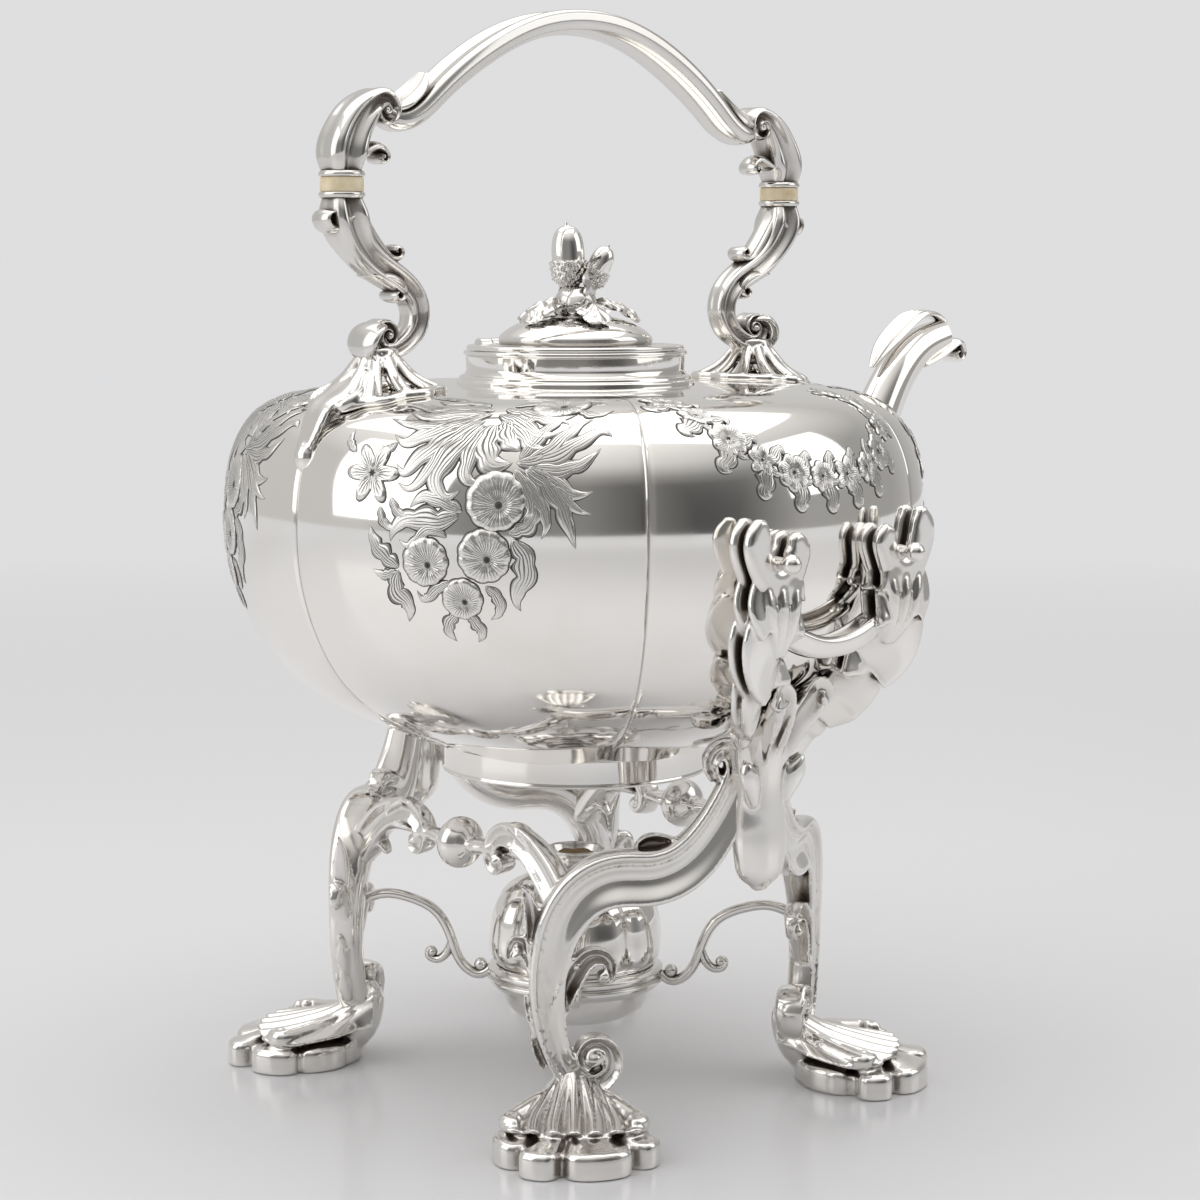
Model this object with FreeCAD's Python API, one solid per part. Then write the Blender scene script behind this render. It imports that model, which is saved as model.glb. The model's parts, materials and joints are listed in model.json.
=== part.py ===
import FreeCAD
import Part
import math
import os

from FreeCAD import Vector

# Silver tea kettle on a four-legged scroll stand with a spirit burner.
# Millimetres. +Z is up, +X is the spout, and the origin is on the table, under the kettle's axis.

# Driving dimensions of the kettle's body
BODY_R = 123.0
BODY_BASE_Z = 118.0
BODY_HEIGHT = 128.0
BODY_WALL = 1.2
PANEL_COUNT = 6
PANEL_OFFSET = 16.0
NECK_R = 35.5
FOOT_RING_R = 47.5
FOOT_RING_WALL = 2.5
FOOT_RING_DROP = 8.4
COLLAR_R = 38.8
COLLAR_HEIGHT = 11.3
COLLAR_FLARE = 3.4
COLLAR_BEAD = 0.7

# Driving dimensions of the lid, its hinge and its finial
LID_GAP = 0.3
LID_RIM_R = 38.4
LID_RIM_THICK = 1.6
LID_DOME_R = 26.5
LID_DOME_HEIGHT = 10.8
LID_WALL = 1.4
BEZEL_GAP = 0.6
BEZEL_WALL = 1.4
BEZEL_DEPTH = 5.5
KNUCKLE_R = 2.4
KNUCKLE_LENGTH = 9.6
KNUCKLE_GAP = 0.25
HINGE_PIN_R = 1.2
RUNNING_CLEARANCE = 0.05
FINIAL_STEM_R = 3.0
FINIAL_HUB_R = 6.0
FINIAL_HUB_HEIGHT = 9.0
FINIAL_NUT_R = 5.0
FINIAL_NUT_HEIGHT = 3.0
FINIAL_NUT_GAP = 0.15
LEAF_COUNT = 5
LEAF_REACH = 23.0
LEAF_HALF_WIDTH = 8.0
LEAF_HALF_THICK = 0.9
ACORN_R = 5.7
ACORN_LENGTH = 18.0
CUP_R = 6.7
CUP_HEIGHT = 10.0

# Driving dimensions of the spout
SPOUT_REACH = 203.0
SPOUT_ROOT_Z = 188.0
SPOUT_MOUTH_Z = 259.0
SPOUT_ROOT_HALF = 21.0
SPOUT_WALL = 1.5
LIP_HALF = 2.0
SPOUT_LEAF_HALF = 1.5
STRAINER_HOLE_R = 2.0
STRAINER_PITCH = 6.5

# Driving dimensions of the handle
HANDLE_TOP_Z = 371.5
HANDLE_SPREAD = 101.2
INSULATOR_Z = 313.6
INSULATOR_THICK = 5.0
INSULATOR_R = 7.2
DOWEL_R = 1.5
GRIP_HALF = 4.6
SOCKET_HALF = 6.9
SCROLL_HALF = 4.6
HANDLE_BASE_Z = 258.0
HANDLE_BASE_X = 87.0
HANDLE_BASE_LENGTH = 40.0
HANDLE_BASE_WIDTH = 42.0
BASE_SLOT_WIDTH = 4.2
BASE_SLOT_COUNT = 4
BASE_BALL_R = 3.6

# Driving dimensions of the pivots between kettle and stand
PIVOT_X = 28.5
PIVOT_Z = 194.5
PIVOT_R = 2.0
PIVOT_GAP = 0.25
BALL_R = 3.2
BALL_GAP = 0.3
BOSS_R = 4.2

# Driving dimensions of the stand
LEG_X = 52.5
LEG_Y = 60.0
LEG_TOP_Z = 130.0
LEG_HALF = 7.6
BRACKET_Y = 93.0
BRACKET_BASE_Z = 82.0
STEM_TOP_Z = 134.0
STEM_HALF_WIDTH = 11.0
STEM_HALF_DEPTH = 7.0
FORK_Y = 126.2
FORK_HALF = 4.6
FORK_HORN_RISE = 11.0
CHEEK_THICK = 3.2
CHEEK_GAP = 4.4
CHEEK_HALF_WIDTH = 7.8
CROSSBAR_Z = 165.0
CROSSBAR_HALF = 4.0
KNOP_R = 9.0
KNOP_LENGTH = 17.0
APRON_Z = 89.0
APRON_HEIGHT = 10.0
APRON_HALF = 5.4
FOOT_REACH = 26.0
FOOT_HALF_WIDTH = 30.0
FOOT_MIDDLE = 100.0
FOOT_RIM_HEIGHT = 10.0
FOOT_TOES = 7
FOOT_FLUTES = 5
FOOT_SHELL_RISE = 14.0

# Driving dimensions of the burner and its carrier
BURNER_R = 31.0
BURNER_BASE_Z = 19.0
BURNER_SEAT_Z = 39.0
BURNER_SHOULDER_Z = 70.0
BURNER_LOBES = 8
BURNER_WALL = 1.5
CARRIER_R = 31.5
CARRIER_BORE_R = 27.6
CARRIER_HEIGHT = 8.0
BURNER_FIT = 0.3
BURNER_NECK_R = 11.5
WICK_TUBE_R = 8.0
WICK_TUBE_WALL = 1.0
WICK_TUBE_TOP_Z = 80.0
WICK_TUBE_DEPTH = 20.0
WICK_CUP_R = 10.8
WICK_DROP = 2.4
ARM_HALF = 1.8
ARM_ROOT_Z = 57.0

OVERRUN = 3.0
FULL_TURN = 360.0
UP = Vector(0, 0, 1)
ALONG = Vector(1, 0, 0)
ACROSS = Vector(0, 1, 0)

BODY_TOP_Z = BODY_BASE_Z + BODY_HEIGHT
COLLAR_TOP_Z = BODY_TOP_Z + COLLAR_HEIGHT
LID_SEAT_Z = COLLAR_TOP_Z + LID_GAP
LID_RIM_TOP_Z = LID_SEAT_Z + LID_RIM_THICK
LID_TOP_Z = LID_RIM_TOP_Z + LID_DOME_HEIGHT
FORK_HALF_DEPTH = CHEEK_GAP / 2 + CHEEK_THICK

# Section outlines: shares of the half size across the scroll's plane, then in it
OVAL_SHARES = [(math.cos(math.radians(a)), math.sin(math.radians(a))) for a in range(0, 360, 45)]
STRAP_SHARES = [(1.00, 0.00), (0.86, 0.72), (0.46, 0.98), (0.00, 0.52), (-0.46, 0.98), (-0.86, 0.72),
                (-1.00, 0.00), (-0.62, -0.72), (0.00, -0.80), (0.62, -0.72)]
COVE_SHARES = [(0.48, 0.00), (0.94, 0.60), (0.70, 0.97), (0.00, 1.00), (-0.76, 0.74), (-1.00, 0.00),
               (-0.76, -0.74), (0.00, -1.00), (0.70, -0.97), (0.94, -0.60)]
BAND_SHARES = [(0.62, 0.00), (0.98, 0.58), (0.70, 0.98), (0.00, 1.00), (-0.70, 0.98), (-0.98, 0.58),
               (-0.62, 0.00), (-0.98, -0.58), (-0.70, -0.98), (0.00, -1.00), (0.70, -0.98), (0.98, -0.58)]


def unit(v):
    """A copy of a vector with length one."""
    w = Vector(v)
    w.normalize()
    return w


def polar(radius, degrees, z=0.0):
    """A point at a radius and a bearing about the upright axis."""
    a = math.radians(degrees)
    return Vector(radius * math.cos(a), radius * math.sin(a), z)


def smooth(points, closed=False):
    """One smooth curve through the points."""
    curve = Part.BSplineCurve()
    curve.interpolate(Points=points, PeriodicFlag=closed)
    return curve


def loop(points):
    """A closed smooth wire through the points."""
    return Part.Wire(smooth(points, True).toShape())


def scroll(rows, side, outline, flat=1.0):
    """A solid along the smooth line through rows of (point, half size). Each section is the outline,
    square to the line. side points across the scroll's plane, where the half size is flat times as large."""
    curve = smooth([p for p, half in rows])
    wires = []
    for place, half in rows:
        along = unit(curve.tangent(curve.parameter(place))[0])
        out = unit(along.cross(side))
        over = unit(out.cross(along))
        wires.append(loop([place + over * (half * flat * a) + out * (half * b) for a, b in outline]))
    return Part.makeLoft(wires, True, False)


def turned(profile):
    """A solid of revolution about the upright axis from corners (radius, z)."""
    corners = [Vector(r, 0, z) for r, z in profile]
    return Part.Face(Part.makePolygon(corners + [corners[0]])).revolve(Vector(), UP, FULL_TURN)


def turned_skin(skin):
    """A solid of revolution under a smooth skin of points (radius, z), closed to the axis at both ends."""
    points = [Vector(r, 0, z) for r, z in skin]
    foot, head = Vector(0, 0, points[0].z), Vector(0, 0, points[-1].z)
    edges = [smooth(points).toShape()]
    for a, b in ((foot, points[0]), (points[-1], head), (head, foot)):
        if (a - b).Length > 0:
            edges.append(Part.makeLine(a, b))
    return Part.Face(Part.Wire(Part.__sortEdges__(edges))).revolve(Vector(), UP, FULL_TURN)


def tube(radius, bore, z, height):
    """A plain ring."""
    outer = Part.makeCylinder(radius, height, Vector(0, 0, z))
    return outer.cut(Part.makeCylinder(bore, height + 2 * OVERRUN, Vector(0, 0, z - OVERRUN)))


def joined(first, *others):
    """Several overlapping solids as one."""
    for other in others:
        first = first.fuse(other)
    return first


def less(shape, *tools):
    """A shape with each tool cut away in turn."""
    for tool in tools:
        shape = shape.cut(tool)
    return shape


def mirrored(shape, flip_x, flip_y):
    """A shape, reflected through the kettle's two upright planes of symmetry as asked."""
    if flip_x:
        shape = shape.mirror(Vector(), ALONG)
    if flip_y:
        shape = shape.mirror(Vector(), ACROSS)
    return shape


# Kettle body: shares of its radius and height, from the base to the neck
BODY_SHARES = [(0.380, 0.000), (0.541, 0.060), (0.715, 0.139), (0.862, 0.256), (0.947, 0.392), (0.990, 0.530),
               (1.000, 0.668), (0.974, 0.830), (0.908, 0.928), (0.800, 0.974), (0.620, 0.992), (0.330, 1.000)]


def melon(inset):
    """The panelled body as a full solid: equal bulging panels that meet in creases."""
    step = FULL_TURN / PANEL_COUNT
    skin = []
    for r, z in BODY_SHARES:
        skin.append((r * (BODY_R - inset) - PANEL_OFFSET, BODY_BASE_Z + inset + z * (BODY_HEIGHT - 2 * inset)))
    blank = turned_skin(skin)
    blank.translate(ALONG * PANEL_OFFSET)
    reach = 2 * BODY_R
    corners = [Vector(), polar(reach, -step / 2), polar(reach, step / 2)]
    wedge = Part.Face(Part.makePolygon(corners + [corners[0]])).extrude(UP * (BODY_BASE_Z + 2 * BODY_HEIGHT))
    panel = blank.common(wedge)
    panels = []
    for k in range(PANEL_COUNT):
        copy = panel.copy()
        copy.rotate(Vector(), UP, step * (k + 0.5))
        panels.append(copy)
    return panels[0].multiFuse(panels[1:]).removeSplitter()


def strainer_holes():
    """The drilled holes that let water into the spout: one in the middle and a ring about it."""
    holes = []
    for k in range(PANEL_COUNT + 1):
        at = polar(STRAINER_PITCH if k else 0.0, k * FULL_TURN / PANEL_COUNT)
        place = Vector(BODY_R / 2, at.x, SPOUT_ROOT_Z + at.y)
        holes.append(Part.makeCylinder(STRAINER_HOLE_R, BODY_R, place, ALONG))
    return holes


def kettle_body(outer):
    """The raised shell, open at the neck and pierced behind the spout."""
    neck = Part.makeCylinder(NECK_R, BODY_HEIGHT, Vector(0, 0, BODY_TOP_Z - BODY_HEIGHT / 2))
    return less(outer, melon(BODY_WALL), neck).cut(strainer_holes())


def foot_ring(outer):
    """The plain band under the kettle, closed up to the body."""
    low = BODY_BASE_Z - FOOT_RING_DROP
    return tube(FOOT_RING_R, FOOT_RING_R - FOOT_RING_WALL, low, 2 * FOOT_RING_DROP).cut(outer)


def neck_collar(outer):
    """The upright collar of the mouth: flared where it is soldered to the shoulder, with a bead at its rim."""
    low = BODY_TOP_Z - BODY_WALL
    flare = COLLAR_R + COLLAR_FLARE
    bead_z = COLLAR_TOP_Z - 2 * COLLAR_BEAD
    wall = turned([(NECK_R, low), (flare, low), (flare, BODY_TOP_Z), (COLLAR_R, BODY_TOP_Z + COLLAR_FLARE),
                   (COLLAR_R, bead_z), (COLLAR_R + COLLAR_BEAD, bead_z), (COLLAR_R + COLLAR_BEAD, COLLAR_TOP_Z),
                   (NECK_R, COLLAR_TOP_Z)])
    return wall.cut(outer)


# Lid: shares of the dome's radius and height
DOME_SHARES = [(1.00, 0.00), (1.03, 0.16), (0.96, 0.42), (0.74, 0.72), (0.42, 0.94), (0.16, 1.00)]


def dome_solid(radius, height, z):
    """The bulging cap of the lid as a full solid."""
    skin = [(r * radius, z + w * height) for r, w in DOME_SHARES]
    return turned_skin(skin)


def lid_dome():
    """The domed lid with its flat rim, hollow below and drilled for the finial."""
    rim = Part.makeCylinder(LID_RIM_R, LID_RIM_THICK, Vector(0, 0, LID_SEAT_Z))
    dome = dome_solid(LID_DOME_R, LID_DOME_HEIGHT, LID_RIM_TOP_Z)
    hollow = dome_solid(LID_DOME_R - LID_WALL, LID_DOME_HEIGHT - LID_WALL, LID_RIM_TOP_Z)
    throat = Part.makeCylinder(LID_DOME_R - LID_WALL, LID_RIM_THICK + OVERRUN, Vector(0, 0, LID_SEAT_Z - OVERRUN))
    hole = Part.makeCylinder(FINIAL_STEM_R, 4 * LID_DOME_HEIGHT, Vector(0, 0, LID_SEAT_Z))
    return less(rim.fuse(dome), hollow, throat, hole)


def lid_bezel():
    """The ring under the lid that drops into the collar."""
    outer = NECK_R - BEZEL_GAP
    return tube(outer, outer - BEZEL_WALL, LID_SEAT_Z - BEZEL_DEPTH, BEZEL_DEPTH)


HINGE_Y = COLLAR_R + COLLAR_BEAD + KNUCKLE_R + LID_GAP
HINGE_Z = LID_SEAT_Z + LID_RIM_THICK / 2
OUTER_KNUCKLE_X = KNUCKLE_LENGTH * 0.75 + KNUCKLE_GAP


def hinge_bore():
    """The hole for the hinge pin, through all barrels."""
    length = 4 * KNUCKLE_LENGTH
    return Part.makeCylinder(HINGE_PIN_R + RUNNING_CLEARANCE, length, Vector(-length / 2, HINGE_Y, HINGE_Z), ALONG)


def barrel(x, length):
    """One barrel of the hinge before it is bored."""
    return Part.makeCylinder(KNUCKLE_R, length, Vector(x - length / 2, HINGE_Y, HINGE_Z), ALONG)


def collar_knuckles(collar):
    """The two outer barrels, each on a tongue that is soldered to the collar."""
    room = Part.makeCylinder(LID_RIM_R + LID_GAP, LID_DOME_HEIGHT, Vector(0, 0, COLLAR_TOP_Z))
    length, depth = KNUCKLE_LENGTH / 2, COLLAR_HEIGHT / 2
    pieces = []
    for side in (-1, 1):
        x = side * OUTER_KNUCKLE_X
        corner_at = Vector(x - length / 2, COLLAR_R - KNUCKLE_R, HINGE_Z - depth)
        tongue = Part.makeBox(length, HINGE_Y - COLLAR_R + 2 * KNUCKLE_R, depth, corner_at)
        pieces.append(less(barrel(x, length).fuse(tongue), hinge_bore(), collar, room))
    return Part.makeCompound(pieces)


def lid_knuckle(dome):
    """The middle barrel, on a tongue that is soldered to the lid's rim."""
    length = KNUCKLE_LENGTH - KNUCKLE_GAP
    tongue = Part.makeBox(length, HINGE_Y - LID_RIM_R + KNUCKLE_R, LID_RIM_THICK,
                          Vector(-length / 2, LID_RIM_R - KNUCKLE_R, LID_SEAT_Z))
    return less(barrel(0.0, length).fuse(tongue), hinge_bore(), dome)


def hinge_pin():
    """The wire that the lid turns on."""
    length = 2 * OUTER_KNUCKLE_X + KNUCKLE_LENGTH / 2
    return Part.makeCylinder(HINGE_PIN_R, length, Vector(-length / 2, HINGE_Y, HINGE_Z), ALONG)


# Finial of oak leaves and acorns: shares of a leaf's reach, of the hub's height, and of its half width
OAK_LEAF_SHARES = [(0.20, 0.24, 0.28), (0.36, 0.40, 0.48), (0.50, 0.44, 0.74), (0.60, 0.38, 0.58), (0.74, 0.22, 1.00),
                   (0.84, 0.06, 0.66), (0.92, -0.06, 0.74), (1.00, -0.24, 0.20)]


def oak_leaf(bearing):
    """One lobed leaf that spreads over the lid."""
    rows = []
    for u, w, half in OAK_LEAF_SHARES:
        rows.append((polar(u * LEAF_REACH, bearing, LID_TOP_Z + w * FINIAL_HUB_HEIGHT), half * LEAF_HALF_THICK))
    across = polar(1.0, bearing + 90)
    return scroll(rows, across, OVAL_SHARES, LEAF_HALF_WIDTH / LEAF_HALF_THICK)


def finial_leaves():
    """The spray of leaves on its hub, with the stem that passes through the lid, one casting."""
    hub = Part.makeCone(FINIAL_HUB_R, CUP_R * 0.6, FINIAL_HUB_HEIGHT, Vector(0, 0, LID_TOP_Z))
    low = LID_TOP_Z - LID_WALL - FINIAL_NUT_HEIGHT
    stem_solid = Part.makeCylinder(FINIAL_STEM_R, LID_TOP_Z - low + FINIAL_HUB_HEIGHT / 2, Vector(0, 0, low))
    leaves = [oak_leaf(FULL_TURN / LEAF_COUNT * (k + 0.5)) for k in range(LEAF_COUNT)]
    return joined(hub, stem_solid, *leaves)


# The acorns: bearing, lean in degrees, size share, and distance from the axis as a share of the cup's radius
ACORN_SHARES = [(150.0, 3.0, 1.00, 0.30), (-35.0, 24.0, 0.72, 0.75)]


def acorns():
    """The cups and the nuts that stand in them, as two lists."""
    cups, nuts = [], []
    for bearing, lean, size, out in ACORN_SHARES:
        r, cup_r, height = ACORN_R * size, CUP_R * size, CUP_HEIGHT * size
        seat = height * 0.5
        cup = turned_skin([(cup_r * 0.45, 0), (cup_r * 0.86, height * 0.34), (cup_r, height)])
        length = ACORN_LENGTH * size
        nut = turned_skin([(r, seat), (r, seat + length * 0.34), (r * 0.86, seat + length * 0.66),
                           (r * 0.42, seat + length * 0.90), (r * 0.10, seat + length)])
        turn = FreeCAD.Rotation(UP, bearing).multiply(FreeCAD.Rotation(ACROSS, lean))
        foot_at = polar(CUP_R * out, bearing, LID_TOP_Z + FINIAL_HUB_HEIGHT)
        for shape, group in ((cup.cut(nut), cups), (nut, nuts)):
            shape.Placement = FreeCAD.Placement(foot_at, turn)
            group.append(shape)
    return cups, nuts


def finial_nut():
    """The nut that holds the finial under the lid."""
    top = LID_TOP_Z - LID_WALL - FINIAL_NUT_GAP
    low = top - FINIAL_NUT_HEIGHT
    corners = [polar(FINIAL_NUT_R, FULL_TURN / 6 * k, low) for k in range(6)]
    block = Part.Face(Part.makePolygon(corners + [corners[0]])).extrude(UP * FINIAL_NUT_HEIGHT)
    return block.cut(Part.makeCylinder(FINIAL_STEM_R, 2 * LID_DOME_HEIGHT, Vector(0, 0, low - LID_DOME_HEIGHT)))


# Spout: shares of its run and rise from the body's wall to the mouth, and of its half size at the root
SPOUT_SHARES = [(0.00, 0.00, 1.00), (0.16, 0.04, 0.84), (0.34, 0.22, 0.62), (0.48, 0.50, 0.48), (0.60, 0.76, 0.41),
                (0.74, 0.93, 0.36), (0.90, 1.00, 0.31)]
FACET_SHARES = [(1.00, 0.00), (0.78, 0.62), (0.24, 1.00), (-0.24, 1.00), (-0.78, 0.62), (-1.00, 0.00),
                (-0.72, -0.70), (0.00, -1.00), (0.72, -0.70)]


def spout_point(u, w):
    """A point of the spout's plane from shares of its run and rise."""
    root = BODY_R - PANEL_OFFSET
    return Vector(root + u * (SPOUT_REACH - root), 0, SPOUT_ROOT_Z + w * (SPOUT_MOUTH_Z - SPOUT_ROOT_Z))


def spout(outer):
    """The curved spout, hollow from the strainer to its mouth."""
    rows = [(spout_point(u, w), half * SPOUT_ROOT_HALF) for u, w, half in SPOUT_SHARES]
    bore = [(place, half - SPOUT_WALL) for place, half in rows]
    last = unit(bore[-1][0] - bore[-2][0])
    bore.append((bore[-1][0] + last * OVERRUN, bore[-1][1]))
    return less(scroll(rows, ACROSS, FACET_SHARES, 0.84), scroll(bore, ACROSS, OVAL_SHARES, 0.84), outer)


# The lip below the mouth and the leaf behind it, in the spout's own shares
LIP_SHARES = [(0.80, 0.86, 0.9), (0.88, 0.90, 1.0), (0.95, 0.955, 1.0), (0.985, 0.96, 0.9), (0.992, 0.90, 0.8),
              (0.965, 0.865, 0.7), (0.94, 0.885, 0.5)]
SPOUT_LEAF_SHARES = [(0.50, 0.86, 0.5), (0.60, 0.99, 1.0), (0.70, 1.08, 1.0), (0.80, 1.11, 0.9), (0.88, 1.09, 0.6)]


def spout_lip(spout_solid):
    """The rolled tongue under the mouth of the spout."""
    rows = [(spout_point(u, w), half * LIP_HALF) for u, w, half in LIP_SHARES]
    return scroll(rows, ACROSS, OVAL_SHARES, 3.0).cut(spout_solid)


def spout_leaf(spout_solid):
    """The leaf that overlaps the back of the spout at its mouth."""
    rows = [(spout_point(u, w), half * SPOUT_LEAF_HALF) for u, w, half in SPOUT_LEAF_SHARES]
    return scroll(rows, ACROSS, STRAP_SHARES, 4.0).cut(spout_solid)


# Handle: shares of its spread and of its rise above the base, and of each member's half size
GRIP_SHARES = [(0.848, 0.700, 0.62), (0.795, 0.676, 0.78), (0.730, 0.690, 0.86), (0.640, 0.752, 0.92),
               (0.435, 0.885, 1.00), (0.220, 0.972, 1.00), (0.000, 1.000, 1.00)]
SOCKET_SHARES = [(1.000, 0.515, 1.00), (1.002, 0.570, 1.00), (0.978, 0.640, 0.98), (0.930, 0.702, 0.84),
                 (0.868, 0.726, 0.62)]
SOCKET_EYE_SHARE = (0.852, 0.716)
SOCKET_CURL_SHARE = 0.64
LOWER_SHARES = [(1.000, 0.470, 1.45), (0.996, 0.410, 1.40), (0.950, 0.320, 1.22), (0.870, 0.256, 1.08),
                (0.775, 0.208, 0.98), (0.712, 0.145, 0.92), (0.712, 0.080, 0.88), (0.765, 0.028, 0.80),
                (0.835, 0.010, 0.72)]
LOWER_EYE_SHARE = (0.842, 0.052)
LOWER_CURL_SHARE = 0.92


def handle_point(u, w, side):
    """A point of the handle's plane on the spout side (1) or the back (-1)."""
    return Vector(side * u * HANDLE_SPREAD, 0, HANDLE_BASE_Z + w * (HANDLE_TOP_Z - HANDLE_BASE_Z))


def roll(eye, radius, half_width, across):
    """The rolled end of a scroll: a drum with a sunk middle on both faces."""
    drum = Part.makeCylinder(radius, 2 * half_width, eye - across * half_width, across)
    dish = radius * 0.7
    for side in (-1, 1):
        drum = drum.cut(Part.makeCylinder(dish, radius, eye + across * (side * (half_width - dish / 4)), across * side))
        boss_end = eye + across * (side * half_width)
        drum = drum.fuse(Part.makeCone(dish * 0.6, dish * 0.3, dish, boss_end - across * (side * dish), across * side))
    return drum


def handle_grip():
    """The arched strap and its two scrolled sockets, one casting."""
    half = [(handle_point(u, w, -1), h * GRIP_HALF) for u, w, h in GRIP_SHARES]
    rows = half + [(Vector(-p.x, 0, p.z), h) for p, h in reversed(half[:-1])]
    pieces = [scroll(rows, ACROSS, STRAP_SHARES, 1.7)]
    for side in (-1, 1):
        line = [(handle_point(u, w, side), h * SOCKET_HALF) for u, w, h in SOCKET_SHARES]
        line[0][0].z = INSULATOR_Z + INSULATOR_THICK / 2
        pieces.append(scroll(line, ACROSS, BAND_SHARES))
        eye = handle_point(*SOCKET_EYE_SHARE, side)
        pieces.append(roll(eye, SOCKET_HALF * SOCKET_CURL_SHARE, SOCKET_HALF * 0.96, ACROSS))
    dowels = [dowel(side) for side in (-1, 1)]
    trim = Part.makeBox(4 * HANDLE_SPREAD, 4 * HANDLE_SPREAD, INSULATOR_Z,
                        Vector(-2 * HANDLE_SPREAD, -2 * HANDLE_SPREAD, INSULATOR_THICK / 2))
    return less(joined(*pieces), trim, *dowels)


def handle_scroll(side, base):
    """The lower S scroll between an insulator and its base on the kettle."""
    rows = [(handle_point(u, w, side), h * SCROLL_HALF) for u, w, h in LOWER_SHARES]
    rows[0][0].z = INSULATOR_Z - INSULATOR_THICK / 2
    body = scroll(rows, ACROSS, BAND_SHARES, 1.1)
    eye = handle_point(*LOWER_EYE_SHARE, side)
    curl = roll(eye, SCROLL_HALF * LOWER_CURL_SHARE, SCROLL_HALF * 1.3, ACROSS)
    top = Part.makeBox(4 * SCROLL_HALF, 4 * SCROLL_HALF, 4 * SCROLL_HALF,
                       Vector(side * HANDLE_SPREAD - 2 * SCROLL_HALF, -2 * SCROLL_HALF, INSULATOR_Z - INSULATOR_THICK / 2))
    return less(body.fuse(curl), base, top, dowel(side))


def insulator(side):
    """The pale disc that keeps the grip cool."""
    disc = Part.makeCylinder(INSULATOR_R, INSULATOR_THICK, Vector(side * HANDLE_SPREAD, 0, INSULATOR_Z - INSULATOR_THICK / 2))
    return disc.cut(dowel(side))


def dowel(side):
    """The hidden pin through an insulator, into the metal above and below it."""
    length = 3 * INSULATOR_THICK
    return Part.makeCylinder(DOWEL_R, length, Vector(side * HANDLE_SPREAD, 0, INSULATOR_Z - length / 2))


# Handle base: height share above the shoulder, then shares of its length and width
BASE_SHARES = [(-0.90, 1.04, 1.04), (0.00, 1.00, 1.00), (0.34, 0.80, 0.82), (0.66, 0.50, 0.48), (1.00, 0.36, 0.36),
               (1.12, 0.34, 0.34)]
TONGUE_SHARES = [(0.02, 0.30, 1.30), (0.26, 0.16, 1.10), (0.46, -0.22, 0.85), (0.60, -0.78, 0.62), (0.655, -1.20, 0.50)]


def handle_base(side, outer):
    """The pierced shell that spreads the handle's load over the shoulder, with a ball-ended tongue down the seam."""
    rise = HANDLE_BASE_Z - BODY_TOP_Z
    wires = []
    for w, length, width in BASE_SHARES:
        ring = []
        for a in range(0, 360, 15):
            ripple = 1.0 + 0.06 * math.cos(math.radians(a * 8))
            ring.append(Vector(side * HANDLE_BASE_X + HANDLE_BASE_LENGTH / 2 * length * ripple * math.cos(math.radians(a)),
                               HANDLE_BASE_WIDTH / 2 * width * ripple * math.sin(math.radians(a)), BODY_TOP_Z + w * rise))
        wires.append(loop(ring))
    shell = Part.makeLoft(wires, True, False)
    rows = []
    for u, w, half in TONGUE_SHARES:
        rows.append((Vector(side * (HANDLE_BASE_X + u * HANDLE_BASE_LENGTH), 0, BODY_TOP_Z + w * rise), half * BASE_BALL_R))
    tongue = scroll(rows, ACROSS, OVAL_SHARES, 1.5)
    ball = Part.makeSphere(BASE_BALL_R, rows[-1][0])
    slots = []
    for k in range(BASE_SLOT_COUNT):
        x = side * HANDLE_BASE_X + (k - (BASE_SLOT_COUNT - 1) / 2) * BASE_SLOT_WIDTH * 1.7
        low = Vector(x, -HANDLE_BASE_WIDTH, BODY_TOP_Z + rise * 0.16)
        slots.append(Part.makeCylinder(BASE_SLOT_WIDTH / 2, 2 * HANDLE_BASE_WIDTH, low, ACROSS))
    return less(joined(shell.cut(slots), tongue, ball), outer)


# Pivots on the kettle
def pivot_pins(x, outer):
    """One pair of ball-ended pins on the body's sides, which lie in the stand's forks."""
    pins = []
    for side in (-1, 1):
        out = ACROSS * side
        root = Vector(x, side * (BODY_R - PANEL_OFFSET), PIVOT_Z)
        ball = Vector(x, side * (FORK_Y + FORK_HALF_DEPTH + BALL_GAP + BALL_R), PIVOT_Z)
        boss_end = FORK_Y - FORK_HALF_DEPTH - BALL_GAP
        pin = Part.makeCylinder(PIVOT_R, (ball - root).Length, root, out)
        boss = Part.makeCylinder(BOSS_R, boss_end - (BODY_R - PANEL_OFFSET), root, out)
        pins.append(joined(pin, boss, Part.makeSphere(BALL_R, ball)).cut(outer))
    return Part.makeCompound(pins)


# Stand: drawn for the corner at -X, -Y and mirrored to the others.
# Shares of the leg's span towards its bracket, of its height and of its half size.
LEG_SHARES = [(0.095, 0.150, 0.40), (-0.010, 0.158, 0.48), (-0.093, 0.222, 0.56), (-0.150, 0.352, 0.74),
              (-0.130, 0.482, 0.88), (-0.060, 0.575, 0.96), (0.060, 0.640, 0.98), (0.220, 0.668, 0.94),
              (0.398, 0.668, 0.90), (0.580, 0.698, 0.84), (0.740, 0.778, 0.76), (0.850, 0.872, 0.66),
              (0.872, 0.960, 0.52), (0.800, 0.990, 0.40), (0.725, 0.958, 0.30), (0.745, 0.915, 0.22)]
HOOK_SHARES = [(-0.120, 0.300, 0.50), (-0.060, 0.380, 0.50), (0.040, 0.448, 0.44), (0.130, 0.462, 0.36),
               (0.180, 0.430, 0.28), (0.150, 0.398, 0.22)]
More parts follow.
